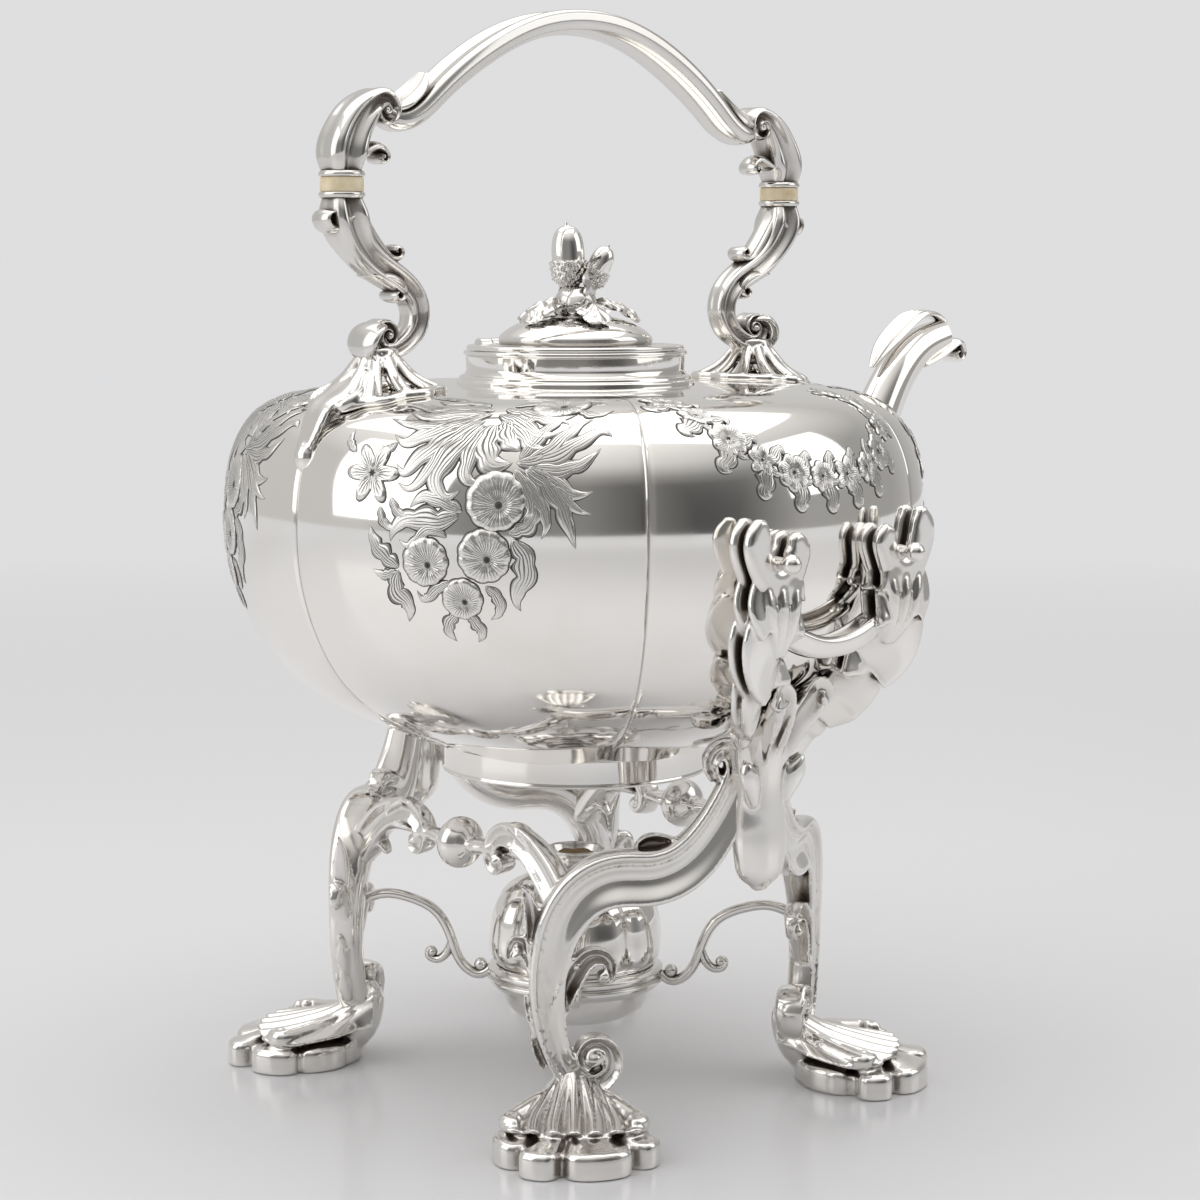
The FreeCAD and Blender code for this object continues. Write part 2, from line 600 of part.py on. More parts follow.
SPRIG_SHARES = [(-0.150, 0.330, 0.46), (-0.220, 0.400, 0.42), (-0.290, 0.470, 0.34), (-0.365, 0.482, 0.26),
                (-0.372, 0.440, 0.20)]
CREST_SHARES = [(0.330, 0.690, 0.24), (0.345, 0.735, 0.30), (0.420, 0.745, 0.40), (0.540, 0.735, 0.46),
                (0.660, 0.770, 0.44)]
LEG_EYE_SHARE = (0.090, 0.204)


def corner():
    """The plan place of the leg at -X, -Y."""
    return Vector(-LEG_X, -LEG_Y, 0)


def leg_point(u, w):
    """A point in the leg's own upright plane, from shares of its span and height."""
    return corner() + (Vector(0, -BRACKET_Y, 0) - corner()) * u + UP * (w * LEG_TOP_Z)


def leg_rows(shares):
    """Points and half sizes of one member of the leg."""
    return [(leg_point(u, w), half * LEG_HALF) for u, w, half in shares]


def leg(stem_solid, foot_solid, arm_solid):
    """The cast leg: a long S scroll, rolled at both ends, with a hook, a leafy sprig and a crest."""
    side = unit((leg_point(1, 0) - leg_point(0, 0)).cross(UP))
    main = scroll(leg_rows(LEG_SHARES), side, COVE_SHARES)
    curl = roll(leg_point(*LEG_EYE_SHARE), LEG_HALF * 0.78, LEG_HALF * 0.86, side)
    extras = []
    for shares in (HOOK_SHARES, SPRIG_SHARES, CREST_SHARES):
        extras.append(scroll(leg_rows(shares), side, OVAL_SHARES, 1.2))
    for u, w, half in (HOOK_SHARES[-1], SPRIG_SHARES[-1], CREST_SHARES[0], LEG_SHARES[-1]):
        extras.append(Part.makeSphere(half * LEG_HALF * 1.7, leg_point(u, w)))
    return less(joined(main, curl, *extras), stem_solid, foot_solid, arm_solid)


def foot_point(out, over, z):
    """A point of the foot: outwards from the axis through its corner, across, and up."""
    outward = unit(corner())
    return outward * out + UP.cross(outward) * over + UP * z


def foot_outline(z, scale):
    """The lobed outline of a foot's rim, a fan that narrows towards the axis."""
    ring = []
    count = FOOT_TOES * 6
    for k in range(count):
        a = 2 * math.pi * k / count
        toe = scale * (1.0 + 0.075 * math.cos(FOOT_TOES * a))
        narrow = 0.80 + 0.20 * math.cos(a)
        ring.append(foot_point(FOOT_MIDDLE + FOOT_REACH * toe * math.cos(a), FOOT_HALF_WIDTH * toe * narrow * math.sin(a), z))
    return loop(ring)


# The fan of a foot: shares of its reach from the middle, of its half width, and of its rise above the rim
FAN_SHARES = [(-1.06, 0.25, 1.06), (-0.76, 0.29, 1.00), (-0.30, 0.52, 0.62), (0.20, 0.78, 0.34), (0.56, 0.88, 0.18)]


def foot():
    """A shell foot: a lobed rim, and a fluted fan that climbs from it to the leg."""
    rim = Part.makeLoft([foot_outline(0.0, 1.0), foot_outline(FOOT_RIM_HEIGHT, 0.95)], True, True)
    wires = []
    low = FOOT_RIM_HEIGHT / 2
    count = FOOT_FLUTES * 4
    for u, half, rise in FAN_SHARES:
        top = []
        for k in range(count + 1):
            s = 2.0 * k / count - 1.0
            crown = math.sqrt(1.0 - 0.80 * s * s) * (1.0 + 0.07 * math.cos(math.pi * FOOT_FLUTES * s))
            height = FOOT_RIM_HEIGHT + rise * FOOT_SHELL_RISE
            top.append(foot_point(FOOT_MIDDLE + u * FOOT_REACH, s * half * FOOT_HALF_WIDTH, low + (height - low) * crown))
        a = foot_point(FOOT_MIDDLE + u * FOOT_REACH, -half * FOOT_HALF_WIDTH, low)
        b = foot_point(FOOT_MIDDLE + u * FOOT_REACH, half * FOOT_HALF_WIDTH, low)
        wires.append(Part.Wire([Part.makeLine(a, top[0]), smooth(top).toShape(), Part.makeLine(top[-1], b), Part.makeLine(b, a)]))
    return rim.fuse(Part.makeLoft(wires, True, False))


# Bracket stem: share of its lean towards the forks, of its rise and of its half width
STEM_SHARES = [(0.00, 0.000, 0.36), (0.00, 0.060, 0.78), (0.00, 0.200, 0.98), (0.00, 0.460, 0.84), (0.02, 0.720, 0.78),
               (0.05, 0.900, 0.96), (0.07, 1.000, 0.90)]


def stem():
    """The stout middle piece of a bracket, which the legs run into from both sides."""
    rise, lean = STEM_TOP_Z - BRACKET_BASE_Z, FORK_Y - BRACKET_Y
    rows = []
    for u, w, half in STEM_SHARES:
        rows.append((Vector(0, -BRACKET_Y - u * lean, BRACKET_BASE_Z + w * rise), half * STEM_HALF_DEPTH))
    return scroll(rows, ALONG, OVAL_SHARES, STEM_HALF_WIDTH / STEM_HALF_DEPTH)


# Fork arm: shares of the way out to the pivot along X and Y, of the rise, of the cheek's half width
# and of its spread
ARM_SHARES = [(0.23, 0.03, 0.00, 0.78, 0.36), (0.35, 0.20, 0.22, 1.04, 0.44), (0.53, 0.60, 0.44, 0.92, 0.70),
              (0.74, 0.86, 0.64, 1.10, 0.92), (0.92, 0.985, 0.84, 0.92, 1.00), (1.00, 1.00, 1.00, 1.02, 1.00)]
YOKE_SHARES = [(-1.06, 1.00, 0.66), (-1.20, 0.52, 0.92), (-1.02, 0.00, 1.00), (-0.707, -0.707, 1.00), (0.00, -1.00, 1.06),
               (0.707, -0.707, 1.00), (1.00, 0.00, 0.96), (1.10, 0.40, 0.78)]


def fork_bottom_z():
    """The middle of the fork's metal under its notch."""
    return PIVOT_Z - PIVOT_R - PIVOT_GAP - FORK_HALF


def fork_arm(stem_solid):
    """One arm of a bracket: two wavy cheeks that part above the stem and end in a notched fork."""
    low, high = STEM_TOP_Z - STEM_HALF_WIDTH, fork_bottom_z()
    side = unit(Vector(0, -1, 0.30))
    offset = CHEEK_GAP / 2 + CHEEK_THICK / 2
    cheeks = []
    for face in (-1, 1):
        rows = []
        for u, v, w, half, spread in ARM_SHARES:
            middle = Vector(-u * PIVOT_X, -BRACKET_Y - v * (FORK_Y - BRACKET_Y), low + w * (high - low))
            rows.append((middle + ACROSS * (face * spread * offset), half * CHEEK_HALF_WIDTH))
        cheeks.append(scroll(rows, side, OVAL_SHARES, CHEEK_THICK / 2 / CHEEK_HALF_WIDTH))
    pivot = Vector(-PIVOT_X, -FORK_Y, PIVOT_Z)
    radius = PIVOT_R + PIVOT_GAP + FORK_HALF
    rows = []
    for u, w, half in YOKE_SHARES:
        rise = radius if w < 0 else FORK_HORN_RISE
        rows.append((pivot + ALONG * (u * radius) + UP * (w * rise), half * FORK_HALF))
    yoke = scroll(rows, ACROSS, OVAL_SHARES, FORK_HALF_DEPTH / FORK_HALF)
    deep = 8 * FORK_HALF_DEPTH
    notch = Part.makeCylinder(PIVOT_R + PIVOT_GAP, deep, pivot - ACROSS * (deep / 2), ACROSS)
    wide = 8 * FORK_HALF
    gap = Part.makeBox(wide, CHEEK_GAP, wide, Vector(-PIVOT_X - wide / 2, -FORK_Y - CHEEK_GAP / 2, high - FORK_HALF / 2))
    return less(joined(cheeks[0], cheeks[1], yoke), gap, notch, stem_solid)


CROSSBAR_SHARES = [(-1.00, 1.00, 0.90), (-0.55, 0.30, 1.00), (0.00, 0.00, 1.00), (0.55, 0.30, 1.00), (1.00, 1.00, 0.90)]


def crossbar(arms):
    """The sagging tie between a bracket's two arms."""
    out = BRACKET_Y + (FORK_Y - BRACKET_Y) * 0.93
    rows = []
    for u, w, half in CROSSBAR_SHARES:
        rows.append((Vector(u * PIVOT_X * 0.74, -out, CROSSBAR_Z + w * CROSSBAR_HALF * 1.5), half * CROSSBAR_HALF))
    pieces = less(scroll(rows, ACROSS, STRAP_SHARES, 1.1), *arms).Solids
    return max(pieces, key=lambda piece: piece.Volume)


# Apron: shares of the way from the knop to the leg, of the apron's height and of its half size
APRON_SHARES = [(0.390, -0.52, 0.26), (0.330, -0.30, 0.34), (0.335, 0.26, 0.44), (0.410, 0.66, 0.56), (0.540, 0.66, 0.72),
                (0.680, 0.30, 0.86), (0.810, -0.34, 0.96), (0.930, -1.20, 1.00)]


def apron_scroll(leg_solid, knop):
    """One C scroll of the apron, from the knop to the leg."""
    rows = [(Vector(-LEG_X, -u * LEG_Y, APRON_Z + w * APRON_HEIGHT), half * APRON_HALF) for u, w, half in APRON_SHARES]
    bead = Part.makeSphere(APRON_HALF * 0.5, rows[0][0])
    start = Vector(-LEG_X, -KNOP_LENGTH * 0.4, APRON_Z)
    link = Part.makeCylinder(APRON_HALF * 0.55, LEG_Y * 0.36 - KNOP_LENGTH * 0.4, start, ACROSS * -1)
    return less(joined(scroll(rows, ALONG, COVE_SHARES), bead, link), leg_solid, knop)


KNOP_SHARES = [(0.34, -0.50), (0.40, -0.36), (0.92, -0.20), (1.00, 0.00), (0.92, 0.20), (0.40, 0.36), (0.34, 0.50)]


def apron_knop():
    """The turned knop in the middle of an apron."""
    shape = turned_skin([(r * KNOP_R, w * KNOP_LENGTH) for r, w in KNOP_SHARES])
    shape.rotate(Vector(), ALONG, FULL_TURN / 4)
    shape.translate(Vector(-LEG_X, 0, APRON_Z))
    return shape


# Burner arm: shares of the way from the carrier to the leg, of the drop from the leg, and of its half size
TIE_SHARES = [(1.00, 0.00, 1.10), (0.80, 0.22, 1.00), (0.60, 0.16, 1.00), (0.40, -0.10, 1.00), (0.28, -0.66, 1.00),
              (0.18, -1.20, 1.00), (0.06, -1.34, 1.00), (-0.02, -1.20, 0.90)]
TIE_CURL_SHARES = [(0.28, -0.66, 0.80), (0.36, -1.02, 0.80), (0.46, -0.98, 0.70)]


def burner_arm(leg_solid, carrier):
    """The thin scroll that ties the burner's carrier to a leg."""
    outward = unit(corner())
    across = unit(outward.cross(UP))
    far = corner().Length
    drop = ARM_ROOT_Z - BURNER_SEAT_Z

    def rows(shares):
        found = []
        for u, w, half in shares:
            found.append((outward * (CARRIER_R + u * (far - CARRIER_R)) + UP * (ARM_ROOT_Z + w * drop), half * ARM_HALF))
        return found

    bead = Part.makeSphere(ARM_HALF * 1.4, rows(TIE_CURL_SHARES)[-1][0])
    pieces = [scroll(rows(shares), across, OVAL_SHARES) for shares in (TIE_SHARES, TIE_CURL_SHARES)]
    return less(joined(*pieces, bead), leg_solid, carrier)


def burner_carrier():
    """The moulded ring that the burner drops into."""
    top = BURNER_SEAT_Z
    low = top - CARRIER_HEIGHT
    waist = (CARRIER_R + CARRIER_BORE_R) / 2
    return turned([(CARRIER_BORE_R, low), (waist, low), (CARRIER_R, low + CARRIER_HEIGHT / 4),
                   (CARRIER_R, top - CARRIER_HEIGHT / 4), (waist, top), (CARRIER_BORE_R, top)])


# Burner: shares of its radius and rise
BOWL_SHARES = [(0.52, 0.00), (0.86, 0.20), (0.98, 0.52), (1.00, 1.00)]
BULB_SHARES = [(0.92, 0.00), (0.99, 0.12), (1.00, 0.38), (0.95, 0.64), (0.80, 0.86), (0.56, 0.98), (0.38, 1.00)]


def burner_bowl():
    """The plain lower half of the burner, a cup that hangs inside the carrier."""
    r = CARRIER_BORE_R - BURNER_FIT
    rise = BURNER_SEAT_Z + BURNER_FIT - BURNER_BASE_Z
    skin = [(u * r, BURNER_BASE_Z + w * rise) for u, w in BOWL_SHARES]
    hollow = [(u * r - BURNER_WALL, BURNER_BASE_Z + BURNER_WALL + w * rise) for u, w in BOWL_SHARES]
    return turned_skin(skin).cut(turned_skin(hollow))


def bulb_solid(inset):
    """The lobed form of the burner's upper half, drawn in by an inset and let down by as much."""
    low = BURNER_SEAT_Z + BURNER_FIT
    wires = []
    count = BURNER_LOBES * 4
    for u, w in BULB_SHARES:
        ring = []
        for k in range(count):
            a = FULL_TURN * k / count
            lobe = 1.0 - 0.022 * (1.0 - math.cos(math.radians(a * BURNER_LOBES)))
            ring.append(polar(BURNER_R * u * lobe - inset, a, low + w * (BURNER_SHOULDER_Z - low) - inset))
        wires.append(loop(ring))
    return Part.makeLoft(wires, True, False)


def burner_bulb():
    """The lobed reservoir of the burner, open to the bowl below and bored for the wick tube above."""
    neck = Part.makeCylinder(BURNER_NECK_R, 2 * BURNER_WALL, Vector(0, 0, BURNER_SHOULDER_Z - BURNER_WALL))
    bore = Part.makeCylinder(WICK_TUBE_R + RUNNING_CLEARANCE, 2 * WICK_TUBE_DEPTH, Vector(0, 0, BURNER_SHOULDER_Z - WICK_TUBE_DEPTH))
    return less(bulb_solid(0.0).fuse(neck), bulb_solid(BURNER_WALL), bore)


def wick_tube():
    """The tube that holds the wick: it hangs in the well by its flange and opens in a cup."""
    seat = BURNER_SHOULDER_Z + BURNER_WALL
    low = seat - WICK_TUBE_DEPTH
    bore, wall = WICK_TUBE_R - WICK_TUBE_WALL, WICK_TUBE_WALL
    return turned([(bore, low), (WICK_TUBE_R, low), (WICK_TUBE_R, seat), (BURNER_NECK_R, seat), (BURNER_NECK_R, seat + wall),
                   (WICK_TUBE_R, seat + 2 * wall), (WICK_CUP_R, WICK_TUBE_TOP_Z), (WICK_CUP_R - wall, WICK_TUBE_TOP_Z),
                   (bore, seat + 2 * wall)])


def wick():
    """The cotton wick, which fills the tube and stands just under the cup's rim."""
    low = BURNER_SHOULDER_Z + BURNER_WALL - WICK_TUBE_DEPTH
    top = WICK_TUBE_TOP_Z - WICK_DROP
    return Part.makeCylinder(WICK_TUBE_R - WICK_TUBE_WALL - RUNNING_CLEARANCE, top - low, Vector(0, 0, low))


# Assembly
CORNERS = {"front_left": (1, 1), "front_right": (1, -1), "rear_left": (-1, 1), "rear_right": (-1, -1)}
SIDES = {"left": 1, "right": -1}


def build_stand():
    """Every piece of the stand, by name."""
    made = {}
    stem_solid, foot_solid = stem(), foot()
    arm = fork_arm(stem_solid)
    front_arm = less(mirrored(arm, True, False), stem_solid)
    leg_solid = leg(stem_solid, foot_solid, arm)
    knop, carrier = apron_knop(), burner_carrier()
    bar = crossbar([arm, front_arm])
    apron, tie = apron_scroll(leg_solid, knop), burner_arm(leg_solid, carrier)
    for name, (x, y) in CORNERS.items():
        flips = (x > 0, y > 0)
        made["leg_" + name] = mirrored(leg_solid, *flips)
        made["foot_" + name] = mirrored(foot_solid, *flips)
        made["fork_arm_" + name] = mirrored(front_arm if x > 0 else arm, False, y > 0)
        made["apron_scroll_" + name] = mirrored(apron, *flips)
        made["burner_arm_" + name] = mirrored(tie, *flips)
    for name, y in SIDES.items():
        made["bracket_stem_" + name] = mirrored(stem_solid, False, y > 0)
        made["bracket_crossbar_" + name] = mirrored(bar, False, y > 0)
    made["apron_knop_front"] = mirrored(knop, True, False)
    made["apron_knop_rear"] = knop
    made["burner_carrier"] = carrier
    return made


def build_kettle():
    """Every piece of the kettle without its lid, by name."""
    outer = melon(0.0)
    collar, tap = neck_collar(outer), spout(outer)
    made = {"kettle_body": kettle_body(outer), "kettle_foot_ring": foot_ring(outer), "neck_collar": collar,
            "spout": tap, "spout_lip": spout_lip(tap), "spout_leaf": spout_leaf(tap), "handle_grip": handle_grip(),
            "hinge_knuckles_collar": collar_knuckles(collar), "hinge_pin": hinge_pin(),
            "pivot_pins_front": pivot_pins(PIVOT_X, outer), "pivot_pins_rear": pivot_pins(-PIVOT_X, outer)}
    for name, side in (("front", 1), ("rear", -1)):
        base = handle_base(side, outer)
        made["handle_base_" + name] = base
        made["handle_scroll_" + name] = handle_scroll(side, base)
        made["insulator_" + name] = insulator(side)
    made["insulator_dowels"] = Part.makeCompound([dowel(-1), dowel(1)])
    return made


def build_lid():
    """Every piece of the lid, by name."""
    leaves, dome = finial_leaves(), lid_dome()
    cups, nuts = acorns()
    cups = [less(cups[0], leaves), less(cups[1], leaves, cups[0], nuts[0])]
    nuts = [less(nuts[0], leaves), less(nuts[1], leaves, cups[0], nuts[0])]
    return {"lid_dome": dome, "lid_bezel": lid_bezel(), "hinge_knuckle_lid": lid_knuckle(dome), "finial_nut": finial_nut(),
            "finial_leaves": leaves.cut(dome), "acorn_cups": Part.makeCompound(cups), "acorns": Part.makeCompound(nuts)}


def build_burner():
    """Every piece of the spirit burner, by name."""
    return {"burner_bowl": burner_bowl(), "burner_bulb": burner_bulb(), "wick_tube": wick_tube(), "wick": wick()}


def main():
    """Builds all pieces and writes one file for each."""
    os.makedirs("parts", exist_ok=True)
    for group in (build_stand(), build_kettle(), build_lid(), build_burner()):
        for name, shape in group.items():
            print("%-26s solids %d valid %s volume %.1f" % (name, len(shape.Solids), shape.isValid(), shape.Volume))
            shape.exportStep(os.path.join("parts", name + ".step"))


main()
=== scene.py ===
# %% [markdown]
# # A silver tea kettle on its scroll stand
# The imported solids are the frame: they say where every piece is and what it moves with. This lesson
# dresses them. Each visible solid gets a finer piece of the same size in the same place, and the
# finishes come from nodes. All tables below are in millimetres, and a piece is made in metres.

# %% Load the solids
import json
import math

import bpy
import numpy as np
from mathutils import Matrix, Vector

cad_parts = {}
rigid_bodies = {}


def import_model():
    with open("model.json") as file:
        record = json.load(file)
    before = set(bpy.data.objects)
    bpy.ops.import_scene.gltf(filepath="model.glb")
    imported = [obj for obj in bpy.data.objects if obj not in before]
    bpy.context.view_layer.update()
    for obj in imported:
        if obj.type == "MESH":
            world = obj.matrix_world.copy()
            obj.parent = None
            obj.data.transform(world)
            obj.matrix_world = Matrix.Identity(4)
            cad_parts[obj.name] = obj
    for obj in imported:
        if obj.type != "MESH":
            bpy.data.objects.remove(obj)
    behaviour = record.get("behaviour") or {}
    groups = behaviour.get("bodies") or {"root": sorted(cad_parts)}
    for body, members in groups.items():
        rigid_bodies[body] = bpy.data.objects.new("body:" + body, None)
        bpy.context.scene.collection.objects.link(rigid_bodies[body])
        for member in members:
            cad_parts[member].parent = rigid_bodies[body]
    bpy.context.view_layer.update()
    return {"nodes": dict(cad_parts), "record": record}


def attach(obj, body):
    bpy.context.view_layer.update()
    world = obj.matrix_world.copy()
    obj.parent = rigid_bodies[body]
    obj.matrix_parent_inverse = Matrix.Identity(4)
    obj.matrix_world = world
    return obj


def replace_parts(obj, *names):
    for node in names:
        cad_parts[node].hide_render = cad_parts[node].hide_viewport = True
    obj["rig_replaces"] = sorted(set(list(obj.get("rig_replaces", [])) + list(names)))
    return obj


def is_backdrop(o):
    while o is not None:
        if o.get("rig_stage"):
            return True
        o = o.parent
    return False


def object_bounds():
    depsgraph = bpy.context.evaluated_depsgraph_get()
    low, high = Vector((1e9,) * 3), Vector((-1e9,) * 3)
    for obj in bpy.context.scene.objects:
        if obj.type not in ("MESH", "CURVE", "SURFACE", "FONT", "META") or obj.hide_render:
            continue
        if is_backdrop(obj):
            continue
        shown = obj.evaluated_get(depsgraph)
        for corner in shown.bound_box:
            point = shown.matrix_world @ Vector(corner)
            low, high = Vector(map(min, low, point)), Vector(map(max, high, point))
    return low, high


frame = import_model()
scene = bpy.context.scene
scene.view_settings.view_transform = "Standard"
MM = 0.001
ALONG, ACROSS, UP = np.eye(3)

# %% [markdown]
# The photograph was taken from about a metre, a little above the lid, with the spout pointing to the
# right and away. A small shift does part of the framing, and a small tilt does the rest, so that views
# from other sides stay in the frame.

# %% Camera
CAMERA_TURN = math.radians(-40.99)
CAMERA_TILT = math.radians(3.991)
CAMERA_FAR, CAMERA_HIGH = 970.6, 287.6
bpy.ops.object.camera_add(
    location=(math.sin(CAMERA_TURN) * CAMERA_FAR * MM, -math.cos(CAMERA_TURN) * CAMERA_FAR * MM,
              CAMERA_HIGH * MM), rotation=(math.pi / 2 - CAMERA_TILT, 0, CAMERA_TURN))
camera = bpy.context.object
camera.data.sensor_width, camera.data.lens = 36.0, 82.56
camera.data.shift_x, camera.data.shift_y = 0.0205, -0.12
scene.camera = camera
print("camera at", [round(x, 3) for x in camera.location])

# %% [markdown]
# Cast scrolls need smooth lines through a few measured points. A cubic line through the points does
# that, for the line of a scroll, for its section and for the profile of a turned piece.


# %% Smooth lines
def unit(v):
    """Vectors of length one."""
    return v / np.maximum(np.linalg.norm(v, axis=-1, keepdims=True), 1e-12)


def cubic(points, count, closed=False):
    """Points along the smooth line through rows of numbers, the first of which are places."""
    p = np.array(points, float)
    pad = 4 if closed else 0
    if closed:
        p = np.vstack([p[-pad:], p, p[:pad + 1]])
    d = np.r_[0, np.cumsum(np.linalg.norm(np.diff(p[:, :3], axis=0), axis=1))]
    h, n = np.diff(d), len(p)
    a, b = np.eye(n), np.zeros_like(p)
    for i in range(1, n - 1):
        a[i, i - 1:i + 2] = h[i - 1], 2 * (h[i - 1] + h[i]), h[i]
        b[i] = 3 * ((p[i + 1] - p[i]) / h[i] - (p[i] - p[i - 1]) / h[i - 1])
    c = np.linalg.solve(a, b)
    t = np.linspace(d[pad], d[n - 1 - pad], count, endpoint=not closed)
    k = np.clip(np.searchsorted(d, t, side="right") - 1, 0, n - 2)
    x, w = (t - d[k])[:, None], h[k][:, None]
    slope = (p[k + 1] - p[k]) / w - w * (2 * c[k] + c[k + 1]) / 3
    return p[k] + slope * x + c[k] * x ** 2 + (c[k + 1] - c[k]) / (3 * w) * x ** 3


print("a smooth line of", len(cubic([(0, 0), (1, 1), (2, 0)], 9)), "points")

# %% [markdown]
# Most pieces start as Blender's own grid. Its points are moved onto the surface row by row, as a
# smith wraps sheet round a former, and then the seams are merged and the faces turned outwards.

# %% Sheets wrapped round a form
MERGE = 2e-6
SHARP = math.radians(38)


def pick(*pieces):
    """Only these pieces are selected, and the first is active."""
    bpy.ops.object.select_all(action="DESELECT")
    for piece in pieces:
        piece.select_set(True)
    bpy.context.view_layer.objects.active = pieces[0]


def close_up(piece):
    """Merges the seams of a piece and turns its faces outwards."""
    pick(piece)
    bpy.ops.object.mode_set(mode="EDIT")
    bpy.ops.mesh.select_all(action="SELECT")
    bpy.ops.mesh.remove_doubles(threshold=MERGE)
    bpy.ops.mesh.normals_make_consistent(inside=False)
    bpy.ops.object.mode_set(mode="OBJECT")
    bpy.ops.object.shade_smooth_by_angle(angle=SHARP)
    return piece


def skin(name, table):
    """A grid moved onto a surface. The table has one row of points for each step along it."""
    along, around = table.shape[0] - 1, table.shape[1] - 1
    bpy.ops.object.select_all(action="DESELECT")
    bpy.ops.mesh.primitive_grid_add(x_subdivisions=around, y_subdivisions=along, size=1.0)
    piece = bpy.context.object
    piece.name = piece.data.name = name
    flat = np.empty(len(piece.data.vertices) * 3)
    piece.data.vertices.foreach_get("co", flat)
    i = np.rint((flat[1::3] + 0.5) * along).astype(int)
    j = np.rint((flat[0::3] + 0.5) * around).astype(int)
    piece.data.vertices.foreach_set("co", (table[i, j] * MM).ravel())
    return close_up(piece)


def round_axis(far, bearing, rise):
    """Places round the upright axis."""
    return np.stack([far * np.cos(bearing), far * np.sin(bearing), rise + 0 * bearing], -1)


def join(name, *pieces):
    """Several meshes as one piece."""
    pick(*pieces)
    bpy.ops.object.join()
    piece = bpy.context.object
    piece.name = piece.data.name = name
    return piece


def copy_of(piece, name, flip=(1, 1, 1), turn=0.0):
    """A copy with its own mesh, mirrored or turned about the upright axis."""
    pick(piece)
    bpy.ops.object.duplicate()
    made = bpy.context.object
    made.name = made.data.name = name
    made.scale = flip
    made.rotation_euler = (0, 0, math.radians(turn))
    bpy.ops.object.transform_apply(location=False, rotation=True, scale=True)
    if np.prod(flip) < 0:
        close_up(made)
    return made


def placed(piece, place, spin=(0, 0, 0)):
    """A piece turned about the axes, in degrees, and set in its place for good."""
    pick(piece)
    piece.location, piece.rotation_euler = np.array(place) * MM, np.radians(spin)
    bpy.ops.object.transform_apply(location=True, rotation=True, scale=True)
    return piece


# %% [markdown]
# A scroll is a section carried along a line. Each row gives a place on the line, half the thickness in
# the scroll's own plane and half the width across it. Rounded caps close both ends.

# %% Scrolls, beads and turned work
CAP = np.radians(np.linspace(90, 0, 5, endpoint=False))
OVAL = [(math.cos(a), math.sin(a)) for a in np.radians(range(0, 360, 30))]
CURL_STEPS = 12


def sweep(name, rows, side, outline, along=60, around=28):
    """A solid scroll. The outline gives shares of the half width and the half thickness."""
    line, ring = cubic(rows, along), cubic(outline, around, closed=True)
    ring = np.vstack([ring, ring[:1]])
    run = unit(np.gradient(line[:, :3], axis=0))
    out = unit(np.cross(run, np.array(side, float)))
    over = np.cross(out, run)
    at = np.r_[np.zeros(len(CAP), int), np.arange(along), np.full(len(CAP), along - 1)]
    size = np.r_[np.cos(CAP), np.ones(along), np.cos(CAP[::-1])]
    push = np.r_[-np.sin(CAP), np.zeros(along), np.sin(CAP[::-1])] * 0.7
    line, run, out, over = line[at], run[at], out[at], over[at]
    centre = line[:, :3] + run * (push * line[:, 3])[:, None]
    table = (centre[:, None] + out[:, None] * (ring[None, :, 1:2] * (size * line[:, 3])[:, None, None])
             + over[:, None] * (ring[None, :, 0:1] * (size * line[:, 4])[:, None, None]))
    return skin(name, table)


def curl(rows, eye, side, turns, left):
    """The rows of a scroll, continued in a spiral round its eye."""
    last, before = np.array(rows[-1], float), np.array(rows[-2], float)
    arm, side = last[:3] - eye, unit(np.array(side, float))
    way = np.sign(np.dot(np.cross(arm, last[:3] - before[:3]), side))
    more = []
    for k in range(1, CURL_STEPS + 1):
        share = k / CURL_STEPS
        a = way * turns * 2 * math.pi * share
        spun = arm * math.cos(a) + np.cross(side, arm) * math.sin(a)
        place = eye + spun * (1 - (1 - left) * share)
        more.append((*place, last[3] * (1 - 0.62 * share), last[4]))
    return list(rows) + more


def bead(centre, radius, squash=(1, 1, 1)):
    """A small ball of metal, for the eye of a scroll."""
    bpy.ops.object.select_all(action="DESELECT")
    bpy.ops.mesh.primitive_uv_sphere_add(segments=20, ring_count=12, radius=radius * MM,
                                         location=np.array(centre) * MM, scale=squash)
    bpy.ops.object.transform_apply(location=True, rotation=True, scale=True)
    bpy.ops.object.shade_smooth()
    return bpy.context.object


def lathe(name, profile, steps=96):
    """A turned piece: the profile is drawn edge by edge from its corners (radius, z) and spun."""
    bpy.ops.object.select_all(action="DESELECT")
    bpy.ops.mesh.primitive_plane_add(size=MM)
    piece = bpy.context.object
    piece.name = piece.data.name = name
    bpy.ops.object.mode_set(mode="EDIT")
    bpy.ops.mesh.select_all(action="SELECT")
    bpy.ops.mesh.merge(type="CENTER")
    pen = np.zeros(2)
    for k, corner in enumerate(np.array(profile, float)):
        step = (corner - pen) * MM
        move = {"value": (step[0], 0, step[1])}
        if k:
            bpy.ops.mesh.extrude_region_move(TRANSFORM_OT_translate=move)
        else:
            bpy.ops.transform.translate(**move)
        pen = corner
    bpy.ops.mesh.select_all(action="SELECT")
    bpy.ops.mesh.spin(steps=steps, angle=2 * math.pi, center=(0, 0, 0), axis=(0, 0, 1))
    bpy.ops.object.mode_set(mode="OBJECT")
    return close_up(piece)


